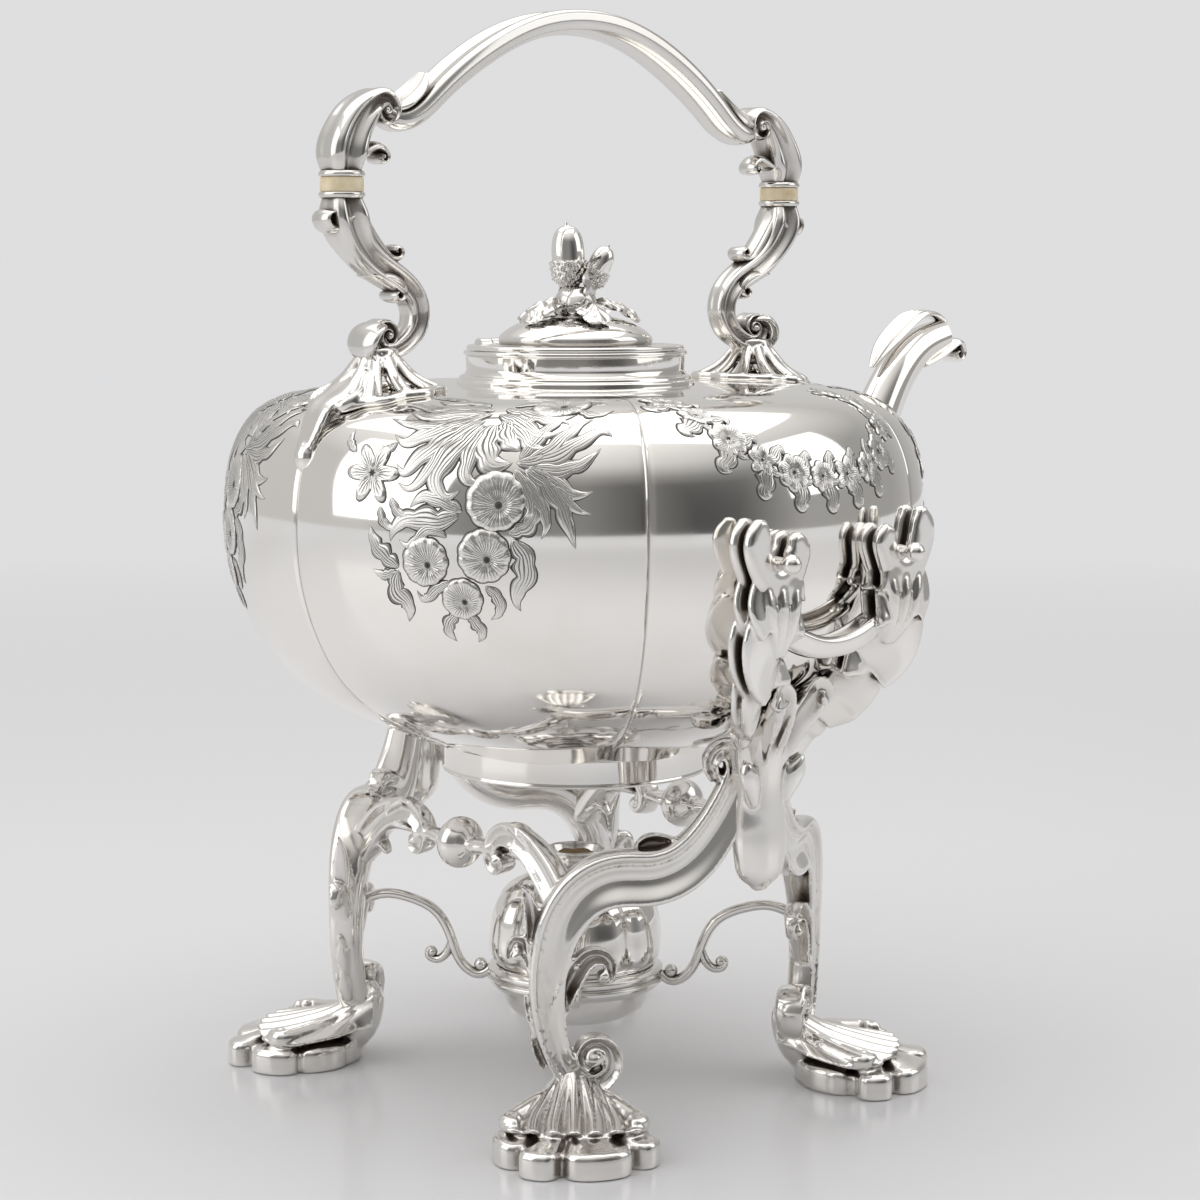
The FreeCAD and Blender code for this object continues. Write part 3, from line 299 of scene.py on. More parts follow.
def rounded(profile, radius=0.5):
    """A profile whose inner corners are cut by small arcs, so that edges catch the light."""
    p = [np.array(q, float) for q in profile]
    made = [p[0]]
    for a, b, c in zip(p, p[1:], p[2:]):
        to_a, to_c = a - b, c - b
        cut = min(radius, 0.45 * np.linalg.norm(to_a), 0.45 * np.linalg.norm(to_c))
        s, e = b + unit(to_a) * cut, b + unit(to_c) * cut
        made += [s * (1 - t) ** 2 + b * 2 * t * (1 - t) + e * t ** 2 for t in (0, 0.35, 0.65, 1)]
    return made + [p[-1]]


# %% [markdown]
# Castings have no seams: leaf, scroll and stem flow into each other as they did in the wax. The parts of
# a casting overlap, a voxel remesh melts them into one skin, and smoothing rounds the corners between.

# %% Castings
VOXEL = 0.62


def cast(name, parts, ease=4):
    """Overlapping parts melted into one casting."""
    piece = join(name, *parts)
    melt = piece.modifiers.new("melt", "REMESH")
    melt.mode, melt.voxel_size = "VOXEL", VOXEL * MM
    bpy.ops.object.modifier_apply(modifier=melt.name)
    soft = piece.modifiers.new("ease", "SMOOTH")
    soft.factor, soft.iterations = 0.5, ease
    bpy.ops.object.modifier_apply(modifier=soft.name)
    bpy.ops.object.shade_smooth()
    return piece


# %% [markdown]
# The shader maths is written as sums. A Wire stands for one socket: adding or multiplying it adds the
# Math node for that. A Paint is a material whose shader takes fixed values on its own sockets.


# %% A small language for finishes
class Wire:
    """A shader socket that can be used in sums."""

    def __init__(self, paint, socket):
        self.paint, self.socket = paint, socket

    def maths(self, operation, a, b):
        return self.paint.node("ShaderNodeMath", {"operation": operation}, {0: a, 1: b})

    def __add__(self, other):
        return self.maths("ADD", self, other)

    def __sub__(self, other):
        return self.maths("SUBTRACT", self, other)

    def __rsub__(self, other):
        return self.maths("SUBTRACT", other, self)

    def __mul__(self, other):
        return self.maths("MULTIPLY", self, other)

    def larger(self, other):
        return self.maths("MAXIMUM", self, other)

    __radd__, __rmul__ = __add__, __mul__


class Paint:
    """A material made of nodes."""

    def __init__(self, name, tree=None, **fixed):
        if tree is None:
            self.material = bpy.data.materials.new(name)
            self.material.use_nodes = True
            tree = self.material.node_tree
            self.shader = tree.nodes["Principled BSDF"]
            for key, value in fixed.items():
                self.shader.inputs[key.replace("_", " ")].default_value = value
        self.tree = tree

    def plug(self, socket, value):
        if isinstance(value, Wire):
            self.tree.links.new(value.socket, socket)
        else:
            socket.default_value = value

    def node(self, kind, settings=None, sockets=None, out=0):
        made = self.tree.nodes.new(kind)
        for key, value in (settings or {}).items():
            if key == "stops":
                while len(made.color_ramp.elements) < len(value):
                    made.color_ramp.elements.new(0.5)
                for element, (place, shade) in zip(made.color_ramp.elements, value):
                    element.position, element.color = place, (shade, shade, shade, 1)
            else:
                setattr(made, key, value)
        for key, value in (sockets or {}).items():
            self.plug(made.inputs[key], value)
        return Wire(self, made.outputs[out])

    def wear(self, socket, value):
        """Feeds one socket of the shader."""
        self.plug(self.shader.inputs[socket], value)

    def mix(self, factor, a, b):
        """A colour between two others."""
        return self.node("ShaderNodeMix", {"data_type": "RGBA"}, {0: factor, 6: a, 7: b}, 2)

    def ramp(self, value, *stops):
        """A grey level read off a curve of (place, level) stops."""
        return self.node("ShaderNodeValToRGB", {"stops": stops}, {0: value})

    def clouds(self, scale, detail=3.0, stretch=(1, 1, 1)):
        """Soft patches over the piece, from 0 to 1."""
        place = self.node("ShaderNodeTexCoord", out=3)
        place = self.node("ShaderNodeMapping", None, {"Vector": place, "Scale": stretch})
        return self.node("ShaderNodeTexNoise", None, {"Vector": place, "Scale": scale, "Detail": detail})

    def hollow(self, reach):
        """How deep in a recess of its own piece a point lies, from 0 to 1."""
        return 1 - self.node("ShaderNodeAmbientOcclusion", {"samples": 6, "only_local": True},
                             {"Distance": reach}, 1)

    def bump(self, height, strength, distance):
        """A surface that a height moves."""
        self.wear("Normal", self.node("ShaderNodeBump", None, {
            "Height": height, "Strength": strength, "Distance": distance}))


# %% [markdown]
# Silver that is polished by hand stays bright on the bulges. In the hollows a brown-grey tarnish is
# left. The finish finds the hollows by how much of the piece shades itself, and adds faint wiping marks.

# %% Silver
SILVER = (0.900, 0.885, 0.860, 1)
WARM_SILVER = (0.850, 0.815, 0.770, 1)
TARNISH = (0.150, 0.118, 0.092, 1)
SEAMS = 6


def silver(name, rough, tarnish, reach, marks=0.05, seams=0, tone=1.0):
    """Polished silver with tarnish in its hollows, and in its seams where its UV map has some."""
    paint = Paint(name, Metallic=1.0)
    deep = paint.ramp(paint.hollow(reach * MM), (0.12, 0.0), (0.58, 1.0))
    cloud = paint.clouds(34.0)
    speck = paint.clouds(900.0, 4.0)
    wipe = paint.clouds(260.0, 2.0, (1.0, 1.0, 0.12))
    dark = deep * tarnish * (cloud * 0.7 + 0.62)
    if seams:
        place = paint.node("ShaderNodeUVMap", {"uv_map": "UVMap"})
        turn = paint.node("ShaderNodeSeparateXYZ", None, {0: place}) * seams
        off = paint.node("ShaderNodeMath", {"operation": "PINGPONG"}, {0: turn, 1: 0.5})
        dark = dark.larger(paint.ramp(off, (0.0, 0.75), (0.022, 0.5), (0.05, 0.0)) * (cloud * 0.8 + 0.4))
    light, warm = ([shade * tone for shade in colour[:3]] + [1] for colour in (SILVER, WARM_SILVER))
    base = paint.mix(paint.ramp(cloud, (0.38, 0.0), (0.72, 1.0)) * 0.6, light, warm)
    paint.wear("Base Color", paint.mix(dark, base, TARNISH))
    paint.wear("Roughness", rough + dark * 0.30 + paint.ramp(cloud, (0.4, 0.0), (0.8, 1.0)) * 0.05)
    paint.bump(wipe * 0.6 + speck * 0.4, marks, 0.00008)
    return paint


plain_silver = silver("silver_polished", 0.055, 0.55, 5.0, 0.03)
panel_silver = silver("silver_panels", 0.05, 0.40, 5.0, 0.03, SEAMS)
cast_silver = silver("silver_cast", 0.11, 1.0, 6.5, 0.10, tone=0.95)
old_silver = silver("silver_handle", 0.13, 1.0, 5.5, 0.10, tone=0.84)
print("silver finishes:", plain_silver.material.name, cast_silver.material.name, old_silver.material.name)

# %% [markdown]
# The kettle's flowers are cut into the silver. The tool's strokes run along each petal and each leaf,
# and the outline is a deep dark cut and partly painted shadow along the edge of each raised sheet. Petals
# and leaves have their own UV map: across and along.

# %% Engraved silver
# the dark of the cut lines, also used as painted shadow along the outline and in the eye of each raised sheet
CUT_AND_SHADOW = (0.035, 0.031, 0.028, 1)
RAISED = (0.80, 0.785, 0.76, 1)


def engraved(name, strokes, rim_along):
    """Silver with cut strokes along a petal and a dark outline that is partly a cut and partly painted
    shadow.
    """
    paint = Paint(name, Metallic=1.0)
    place = paint.node("ShaderNodeUVMap", {"uv_map": "UVMap"})
    split = paint.node("ShaderNodeSeparateXYZ", None, {0: place})
    across, along = split, Wire(paint, split.socket.node.outputs[1])
    shake = paint.clouds(420.0, 3.0)
    angle = (across + shake * 0.03) * (strokes * 2 * math.pi)
    wave = paint.node("ShaderNodeMath", {"operation": "SINE"}, {0: angle})
    fade = paint.ramp(along, (0.0, 1.0), (0.50, 0.80), (0.78, 0.10), (0.88, 0.10), (1.0, 0.9))
    stroke = paint.ramp(wave * 0.5 + 0.5, (0.50, 0.0), (0.90, 1.0)) * fade
    # the dark outline, and the dark eye of a bloom: partly cut lines, partly painted shadow where the raised
    # sheet meets the silver
    if rim_along:
        edge = paint.ramp(along, (0.0, 1.0), (0.10, 1.0), (0.16, 0.0), (0.90, 0.0), (0.96, 1.0))
    else:
        edge = paint.ramp(across, (0.05, 1.0), (0.13, 0.0), (0.86, 0.0), (0.94, 1.0))
    # dark: the cut strokes, and the outline with its painted shadow
    dark = stroke.larger(edge) * 0.94
    paint.wear("Base Color", paint.mix(dark, RAISED, CUT_AND_SHADOW))
    paint.wear("Metallic", 1 - dark * 0.7)
    paint.wear("Roughness", 0.16 + dark * 0.4)
    paint.bump(1 - dark, 0.5, 0.0003)
    return paint


petal_silver = engraved("silver_engraved_petal", 34, True)
leaf_silver = engraved("silver_engraved_leaf", 7, False)
print("engraved finishes:", petal_silver.material.name, leaf_silver.material.name)

# %% [markdown]
# Two pale discs in the handle keep the grip cool: bone-like, with fine grain and a yellowed skin. The
# burner's wick is a bundle of cotton threads, scorched at its top.

# %% Pale discs and wick
pale = Paint("pale_disc", Roughness=0.34)
grain = pale.clouds(1500.0, 3.0, (1, 1, 0.08))
stain = pale.clouds(180.0)
pale.wear("Base Color", pale.mix(pale.ramp(stain, (0.35, 0.0), (0.75, 1.0)) * (grain * 0.6 + 0.5),
                                 (0.88, 0.79, 0.58, 1), (0.62, 0.47, 0.26, 1)))
pale.bump(grain, 0.25, 0.0001)
cotton = Paint("wick_cotton", Roughness=0.95)
thread = cotton.clouds(1900.0, 3.0, (1, 1, 0.12))
scorch = cotton.clouds(300.0)
cotton.wear("Base Color",
            cotton.mix(thread * 0.7 + scorch * 0.4, (0.50, 0.36, 0.20, 1), (0.16, 0.10, 0.05, 1)))
cotton.bump(thread, 0.8, 0.0006)


def dress(piece, paint, body, *nodes, slot=None):
    """A finish, a body to ride on and the solids that a piece stands for."""
    piece.data.materials.clear()
    piece.data.materials.append(paint.material)
    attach(piece, body)
    if nodes:
        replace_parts(piece, *nodes)
    return piece


SLOTS = [m["slot"] for m in frame["record"]["materials"]]
print("slots in the record:", SLOTS)

# %% [markdown]
# The body is raised from sheet: six bulging panels that meet in creases. Each panel is part of a turned
# form whose axis is moved out towards the panel. A narrow groove marks each seam. The sheet gets its
# wall from Solidify, and the neck stays open under the lid.

# %% Kettle body
BODY_R, BODY_LOW, BODY_TALL, PANEL_SHIFT = 123.0, 118.0, 128.0, 16.0
NECK_R, BODY_WALL = 35.6, 1.2
SEAM_DEEP, SEAM_HALF = 0.55, 0.65
SEAM_FROM, SEAM_FADE = 52.0, 20.0
PANEL = 360 / SEAMS
BODY_SHARES = [(0.380, 0.000), (0.541, 0.060), (0.715, 0.139), (0.862, 0.256), (0.947, 0.392), (0.990, 0.530),
               (1.000, 0.668), (0.974, 0.830), (0.908, 0.928), (0.800, 0.974), (0.620, 0.992), (0.330, 1.000)]
profile = cubic([(r * BODY_R, BODY_LOW + z * BODY_TALL) for r, z in reversed(BODY_SHARES)], 900)
arc = np.r_[0, np.cumsum(np.linalg.norm(np.diff(profile, axis=0), axis=1))]
slope = np.gradient(profile, axis=0)
facing = unit(np.c_[-slope[:, 1], slope[:, 0]])


def thicken(piece, wall, offset=0.0):
    """Gives an open sheet its wall."""
    pick(piece)
    solid = piece.modifiers.new("wall", "SOLIDIFY")
    solid.thickness, solid.offset = wall * MM, offset
    bpy.ops.object.modifier_apply(modifier=solid.name)
    return close_up(piece)


def bulge(r, turn):
    """How far a panel stands from the axis at a bearing from its middle."""
    return PANEL_SHIFT * np.cos(turn) + np.sqrt((r - PANEL_SHIFT) ** 2 - (PANEL_SHIFT * np.sin(turn)) ** 2)


def on_panel(s, a, lift):
    """A place on the panel that faces +X: across it and down from the neck along the silver, and raised."""
    r, z = np.interp(a, arc, profile[:, 0]), np.interp(a, arc, profile[:, 1])
    turn = s / r
    far = bulge(r, turn) + lift * np.interp(a, arc, facing[:, 0])
    return round_axis(far, turn, z + lift * np.interp(a, arc, facing[:, 1]))


turns = np.r_[-30, -29.85, -29.65, -29.3, -28.7, np.linspace(-27.6, 27.6, 23), 28.7, 29.3, 29.65, 29.85]
down = np.linspace(0, arc[-1], 112)
r, z = np.interp(down, arc, profile[:, 0]), np.interp(down, arc, profile[:, 1])
panel = bulge(r[:, None], np.radians(turns)[None])
from_seam = (PANEL / 2 - np.abs(turns))[None] * np.pi / 180 * r[:, None]
groove = SEAM_DEEP * np.exp(-(from_seam / SEAM_HALF) ** 2)
panel = panel - groove * np.clip((r[:, None] - SEAM_FROM) / SEAM_FADE, 0, 1)
bearing = np.radians(np.r_[np.concatenate([turns + PANEL / 2 + PANEL * k for k in range(SEAMS)]), 360])
radius = np.c_[np.tile(panel, SEAMS), panel[:, :1]]
floor_rings = [radius[-1:] * share for share in (0.6, 0.25, 0)]
radius = np.vstack([np.full(len(bearing), NECK_R), radius, *floor_rings])
height = np.r_[z[0], z, [z[-1]] * len(floor_rings)]
shell = thicken(skin("kettle_shell", round_axis(radius, bearing, height[:, None])), BODY_WALL, -1.0)
dress(shell, panel_silver, "kettle", "kettle_body", slot="silver")
print("body:", len(shell.data.polygons), "faces, neck to foot along the panel", round(arc[-1], 1), "mm")

# %% [markdown]
# The plain band under the body, the collar of the mouth and the lid are turned on a lathe. Their
# corners are cut by small arcs, because a real edge catches a line of light.

# %% Turned pieces of the kettle
foot_band = lathe("foot_band",
                  rounded([(45.0, 120.5), (45.0, 109.6), (47.2, 109.6), (47.5, 110.3), (47.1, 111.1),
                           (47.1, 118.9), (47.7, 119.4), (47.7, 120.2), (46.0, 120.5)], 0.3))
dress(foot_band, plain_silver, "kettle", "kettle_foot_ring", slot="silver")
collar = lathe("mouth_collar",
               rounded([(35.5, 245.0), (35.5, 257.3), (39.3, 257.3), (39.5, 256.6), (39.3, 255.9),
                        (38.7, 255.6), (38.4, 250.6), (39.2, 249.0), (40.9, 248.4), (41.0, 247.4),
                        (42.2, 246.9), (42.2, 245.4), (36.0, 245.0)], 0.35))
dress(collar, plain_silver, "kettle", "neck_collar", slot="silver")
DOME = cubic([(26.5, 259.3), (27.3, 260.9), (25.4, 263.7), (19.6, 267.0), (11.1, 269.35), (4.2, 270.0)], 22)
LID = [(25.1, 257.6), (38.4, 257.6), (38.4, 258.7), (37.9, 259.2), (31.0, 259.2), (29.0, 259.6),
       (27.4, 259.4)]
lid_cap = lathe("lid_cap",
                rounded(LID, 0.3) + list(DOME)
                + [(3.0, 270.0), (3.0, 268.6), (10.0, 268.0), (18.0, 265.6), (24.0, 262.4), (25.1, 259.0),
                   (25.1, 257.6)])
dress(lid_cap, plain_silver, "lid", "lid_dome", slot="silver")
print("turned pieces:", foot_band.name, collar.name, lid_cap.name)

# %% [markdown]
# The finial is a spray of oak leaves with two acorns. A leaf is a sheet with a lobed edge and a raised
# midrib. Five lie bent over the lid, and two stand up beside the acorns. An acorn is turned, and its cup
# is knobbly.

# %% Finial
LID_TOP, HUB_TALL = 270.0, 9.0
LEAF_LINE = [(4.0, 3.0), (8.0, 4.2), (12.5, 3.6), (17.5, 1.6), (21.0, -0.9), (22.8, -2.6)]
UPRIGHT_LINE = [(4.4, 3.0), (6.2, 8.0), (6.4, 13.0), (7.4, 17.0), (9.4, 19.6), (11.2, 20.2)]


def oak_leaf(turn, shares=LEAF_LINE, broad=8.4):
    """One lobed leaf, spread from the hub."""
    line = cubic([(u, LID_TOP + w, 0) for u, w in shares], 34)
    t, across = np.linspace(0, 1, 34)[:, None], np.linspace(-1, 1, 17)[None]
    lobes = 0.66 + 0.34 * np.abs(np.cos(np.pi * (3.4 * t + 0.12)))
    half = broad * np.sin(np.pi * np.clip(t * 0.93 + 0.07, 0, 1)) ** 0.55 * lobes * (0.55 + 0.45 * t)
    midrib = 0.9 * np.exp(-(across / 0.16) ** 2)
    veins = 0.35 * np.cos(np.pi * 7 * (t - 0.3 * np.abs(across)))
    lift = (midrib - 1.5 * across ** 2 + veins) * np.clip(half / 4, 0, 1)
    flat = np.stack([np.tile(line[:, :1], 17), half * across, line[:, 1:2] + lift], -1)
    c, s = math.cos(math.radians(turn)), math.sin(math.radians(turn))
    x, y, z = np.moveaxis(flat, -1, 0)
    spun = np.stack([x * c - y * s, x * s + y * c, z], -1)
    return thicken(skin("oak_leaf", spun), 0.9)


HUB = [(0, 268.0), (3.0, 268.2), (7.6, 270.0), (8.4, 272.8), (7.0, 276.4), (4.8, 279.4), (0, 280.0)]
NUT = [(5.6, 5.0), (5.8, 11.1), (5.5, 16.4), (4.2, 20.0), (2.0, 21.8), (0.8, 22.4), (0.6, 23.4), (0.0, 23.8)]
hub = lathe("hub", rounded(HUB, 0.8), 40)
leaves = [oak_leaf(36 + 72 * k) for k in range(5)] + [oak_leaf(turn, UPRIGHT_LINE, 5.0) for turn in (-78, 80)]
spray = join("finial_leaves_cast", hub, *leaves)
dress(spray, old_silver, "lid", "finial_leaves", slot="silver")
cups, nuts = [], []
for turn, lean, size, far in ((150.0, 3.0, 1.0, 2.0), (-35.0, 24.0, 0.72, 5.0)):
    place = (far * math.cos(math.radians(turn)), far * math.sin(math.radians(turn)), LID_TOP + HUB_TALL)
    nut = lathe("nut", size * cubic(NUT, 36), 40)
    v, a = np.linspace(0, 1, 57)[:, None], np.linspace(0, 2 * np.pi, 145)[None]
    cup_r = np.interp(v, (0, 0.12, 0.45, 0.85, 1.0), (0.0, 2.4, 5.9, 6.7, 5.75))
    knobs = 0.42 * np.sin(12 * a + np.pi * np.floor(v * 8)) * np.sin(np.pi * v * 8) ** 2 * (cup_r > 3)
    cup_r = (cup_r + knobs) * size
    rise = np.interp(v, (0, 0.12, 0.45, 0.85, 1.0), (0.0, 0.2, 3.4, 9.4, 10.0)) * size
    cup = skin("cup", round_axis(cup_r, a, rise))
    nuts.append(placed(nut, place, (0, lean, turn)))
    cups.append(placed(cup, place, (0, lean, turn)))
dress(join("acorn_cups_cast", *cups), old_silver, "lid", "acorn_cups", slot="silver")
dress(join("acorn_nuts", *nuts), plain_silver, "lid", "acorns", slot="silver")
print("finial:", len(leaves), "leaves, two acorns")

# %% [markdown]
# The spout is a tapering pipe with soft facets, open at its mouth. It is swept as a sheet and thickened
# inwards. A rolled tongue lies under the mouth, and a fluted leaf covers its back.

# %% Spout
SPOUT_ROOT, SPOUT_RUN, SPOUT_LOW, SPOUT_RISE = 107.0, 96.0, 188.0, 71.0
FACETS = [(1.00, 0.00), (0.80, 0.60), (0.26, 0.99), (-0.26, 0.99), (-0.80, 0.60), (-1.00, 0.00),
          (-0.72, -0.70), (0.00, -1.00), (0.72, -0.70)]


def spout_row(u, w, half, flat):
    """A row of a scroll in the spout's plane."""
    return SPOUT_ROOT + u * SPOUT_RUN, 0, SPOUT_LOW + w * SPOUT_RISE, half, half * flat


SPOUT_SHARES = [(0.00, 0.00, 1.00), (0.16, 0.04, 0.84), (0.34, 0.22, 0.62), (0.48, 0.50, 0.48),
                (0.60, 0.76, 0.41), (0.74, 0.93, 0.36), (0.90, 1.00, 0.31)]
line = cubic([spout_row(u, w, 21.0 * h, 0.84) for u, w, h in SPOUT_SHARES], 60)
ring = cubic(FACETS, 54, closed=True)
ring = np.vstack([ring, ring[:1]])
run = unit(np.gradient(line[:, :3], axis=0))
out = np.cross(run, ACROSS)
table = (line[:, None, :3] + out[:, None] * (ring[None, :, 1:2] * line[:, None, 3:4])
         + ACROSS * (ring[None, :, 0:1] * line[:, None, 4:5]))
pipe = thicken(skin("spout_pipe", table), 1.5, -1.0)
dress(pipe, plain_silver, "kettle", "spout", slot="silver")
tongue = [spout_row(u, w, 2.0 * h, 3.2) for u, w, h in (
    (0.76, 0.84, 0.7), (0.84, 0.885, 0.9), (0.92, 0.945, 1.0), (0.965, 0.962, 0.95), (0.992, 0.925, 0.8))]
tongue = sweep("spout_tongue", curl(tongue, np.array((199.5, 0, 252.0)), ACROSS, 0.8, 0.3), ACROSS, OVAL, 50)
dress(tongue, plain_silver, "kettle", "spout_lip", slot="silver")
LEAF_BACK = [(0.48, 0.84, 0.3), (0.55, 0.95, 0.9), (0.64, 1.05, 1.1), (0.74, 1.12, 1.1), (0.83, 1.115, 0.9),
             (0.90, 1.08, 0.5)]
RIBS = [(1.0, 0.0), (0.86, 0.55), (0.70, 0.80), (0.56, 0.45), (0.40, 0.95), (0.22, 0.55), (0.0, 1.05),
        (-0.22, 0.55), (-0.40, 0.95), (-0.56, 0.45), (-0.70, 0.80), (-0.86, 0.55), (-1.0, 0.0), (-0.6, -0.6),
        (0, -0.75), (0.6, -0.6)]
back_leaf = sweep("spout_back_leaf", [spout_row(u, w, 1.6 * h, 3.9) for u, w, h in LEAF_BACK], ACROSS, RIBS,
                  40, 64)
dress(back_leaf, cast_silver, "kettle", "spout_leaf", slot="silver")
print("spout:", len(pipe.data.polygons), "faces")

# %% [markdown]
# The handle is cast in pieces: an arched strap with rolled sockets, two pale discs, and two S scrolls
# below them. A turned ferrule holds each disc on both sides. Every rolled end continues its scroll in a
# spiral, with a bead in the larger eyes, and leaves lie along the strap where it springs from the sockets.

# %% Handle
HANDLE_LOW, HANDLE_RISE, HANDLE_SPREAD = 258.0, 113.5, 101.2
DISC_Z, DISC_TALL, DISC_R = 313.6, 5.0, 7.2
STRAP = [(1.00, 0.00), (0.99, 0.48), (0.86, 0.84), (0.62, 0.90), (0.40, 0.66), (0.00, 0.56), (-0.40, 0.66),
         (-0.62, 0.90), (-0.86, 0.84), (-0.99, 0.48), (-1.00, 0.00), (-0.66, -0.70), (0.00, -0.84),
         (0.66, -0.70)]
BAND = [(0.60, 0.00), (0.84, 0.34), (1.00, 0.62), (0.72, 0.98), (0.00, 1.00), (-0.72, 0.98), (-1.00, 0.62),
        (-0.84, 0.34), (-0.60, 0.00), (-0.84, -0.34), (-1.00, -0.62), (-0.72, -0.98), (0.00, -1.00),
        (0.72, -0.98), (1.00, -0.62), (0.84, -0.34)]
GRIP = [(0.848, 0.700, 0.62), (0.795, 0.676, 0.78), (0.730, 0.690, 0.86), (0.640, 0.752, 0.92),
        (0.435, 0.885, 1.00), (0.220, 0.972, 1.00), (0.000, 1.000, 1.00)]
SOCKET = [(1.000, 0.515, 1.00), (1.002, 0.570, 1.00), (0.978, 0.640, 0.96), (0.930, 0.702, 0.78),
          (0.882, 0.735, 0.56)]
LOWER = [(1.000, 0.468, 1.40), (0.996, 0.410, 1.36), (0.950, 0.320, 1.18), (0.870, 0.256, 1.04),
         (0.775, 0.208, 0.94), (0.712, 0.145, 0.88), (0.712, 0.080, 0.82), (0.765, 0.028, 0.72),
         (0.835, 0.008, 0.62)]


def handle_row(u, w, half, wide, side):
    """A row of a scroll in the handle's plane, at the spout's end (1) or the back (-1)."""
    return side * u * HANDLE_SPREAD, 0, HANDLE_LOW + w * HANDLE_RISE, half, wide


def handle_at(u, w, side):
    return np.array(handle_row(u, w, 0, 0, side)[:3], float)


def small_curl(name, shares, thick, wide, eye, side, turns=0.7, along=40):
    """A small leaf on the handle that ends in a curl."""
    rows = [handle_row(u, w, thick * h, wide, side) for u, w, h in shares]
    return sweep(name, curl(rows, handle_at(*eye, side), ACROSS, turns, 0.3), ACROSS, OVAL, along, 20)


def flat_leaf(name, shares, wide, side, along):
    """A fluted leaf that lies along the handle."""
    rows = [handle_row(u, w, 2.4 * h, wide * h, side) for u, w, h in shares]
    return sweep(name, rows, ACROSS, RIBS, along, 60)


def ferrule(side, up):
    """A turned ring against a pale disc, above it (1) or below it (-1)."""
    z = DISC_Z + up * (DISC_TALL / 2 + 0.05)
    corners = [(r, z + up * rise) for r, rise in ((0, 0), (7.5, 0), (7.7, 0.9), (7.2, 1.9), (0, 2.1))]
    return placed(lathe("ferrule", rounded(corners, 0.35), 48), (side * HANDLE_SPREAD, 0, 0))


SCROLL_CLEAR, SCROLL_END = 1.6, (5.2, 5.4)
SOCKET_EYE, SCROLL_EYE, TIP_EYE = (0.858, 0.706), (0.842, 0.052), (0.856, 0.570)
STRAP_LEAF = [(0.845, 0.708, 0.4), (0.800, 0.713, 1.0), (0.748, 0.738, 1.1), (0.700, 0.776, 0.9),
              (0.668, 0.816, 0.5)]
ROOT_LEAF = [(0.835, 0.075, 0.4), (0.880, 0.078, 1.0), (0.915, 0.050, 1.1), (0.925, 0.010, 0.9),
             (0.915, -0.020, 0.5)]
INNER = [(0.960, 0.450, 0.6), (0.918, 0.372, 1.2), (0.858, 0.304, 1.2), (0.812, 0.278, 1.0),
         (0.784, 0.286, 0.8)]
TIP = [(0.950, 0.572, 0.7), (0.908, 0.592, 1.1), (0.866, 0.600, 1.0), (0.842, 0.584, 0.7)]
THUMB = [(0.985, 0.396, 0.8), (1.026, 0.368, 1.1), (1.064, 0.366, 0.9), (1.082, 0.388, 0.7)]
KNUCKLE = [(0.905, 0.228, 0.5), (0.862, 0.224, 1.2), (0.812, 0.216, 1.2), (0.776, 0.188, 0.9)]
left = [handle_row(u, w, 4.9 * h, 8.4 * h, -1) for u, w, h in GRIP]
right = [(-x, y, z, h, w) for x, y, z, h, w in reversed(left[:-1])]
parts = [sweep("strap", left + right, ACROSS, STRAP, 140, 48)]
for side in (-1, 1):
    rows = [handle_row(u, w, 6.6 * h, 6.9, side) for u, w, h in SOCKET]
    rows[0] = (rows[0][0], 0, DISC_Z + DISC_TALL / 2 + SCROLL_CLEAR, *SCROLL_END)
    rows = curl(rows, handle_at(*SOCKET_EYE, side), ACROSS, 1.1, 0.28)
    parts.append(sweep("socket", rows, ACROSS, BAND, 90, 56))
    parts.append(bead(handle_at(*SOCKET_EYE, side), 2.3, (1, 3.1, 1)))
    parts.append(flat_leaf("strap_leaf", STRAP_LEAF, 7.4, side, 44))
    parts.append(small_curl("socket_tip", TIP, 1.7, 4.6, TIP_EYE, side, 0.8))
    parts.append(bead(handle_at(0.856, 0.572, side), 1.6, (1, 2.8, 1)))
    parts.append(ferrule(side, 1))
arch = join("handle_arch", *parts)
dress(arch, old_silver, "kettle", "handle_grip", slot="silver")
for name, side in (("front", 1), ("rear", -1)):
    rows = [handle_row(u, w, 4.6 * h, 5.2 * max(h, 0.86), side) for u, w, h in LOWER]
    rows[0] = (rows[0][0], 0, DISC_Z - DISC_TALL / 2 - SCROLL_CLEAR, *SCROLL_END)
    rows = curl(rows, handle_at(*SCROLL_EYE, side), ACROSS, 1.2, 0.25)
    parts = [sweep("s_scroll", rows, ACROSS, BAND, 110, 56),
             bead(handle_at(*SCROLL_EYE, side), 1.9, (1, 3.2, 1))]
    parts.append(small_curl("thumb", THUMB, 2.0, 5.0, (1.058, 0.394), side, along=36))
    parts.append(small_curl("inner_leaf", INNER, 1.6, 4.6, (0.800, 0.298), side, along=44))
    parts.append(small_curl("knuckle", KNUCKLE, 1.9, 5.2, (0.800, 0.174), side))
    parts.append(flat_leaf("root_leaf", ROOT_LEAF, 7.6, side, 40))
    parts.append(ferrule(side, -1))
    dress(join("s_scroll_" + name, *parts), old_silver, "kettle", "handle_scroll_" + name, slot="silver")
    low, high = DISC_Z - DISC_TALL / 2, DISC_Z + DISC_TALL / 2
    disc = lathe("pale_disc_" + name, rounded([(0, low), (DISC_R, low), (DISC_R, high), (0, high)], 0.7), 48)
    placed(disc, (side * HANDLE_SPREAD, 0, 0))
    dress(disc, pale, "kettle", "insulator_" + name, slot="insulator")
print("handle:", len(arch.data.polygons), "faces in the arch")

# %% [markdown]
# A pierced shell carries each end of the handle on the shoulder. Ribs fan out from its hub to a wavy
# rim that lies on the silver, with openings between them, and a tongue with a ball runs down the seam.

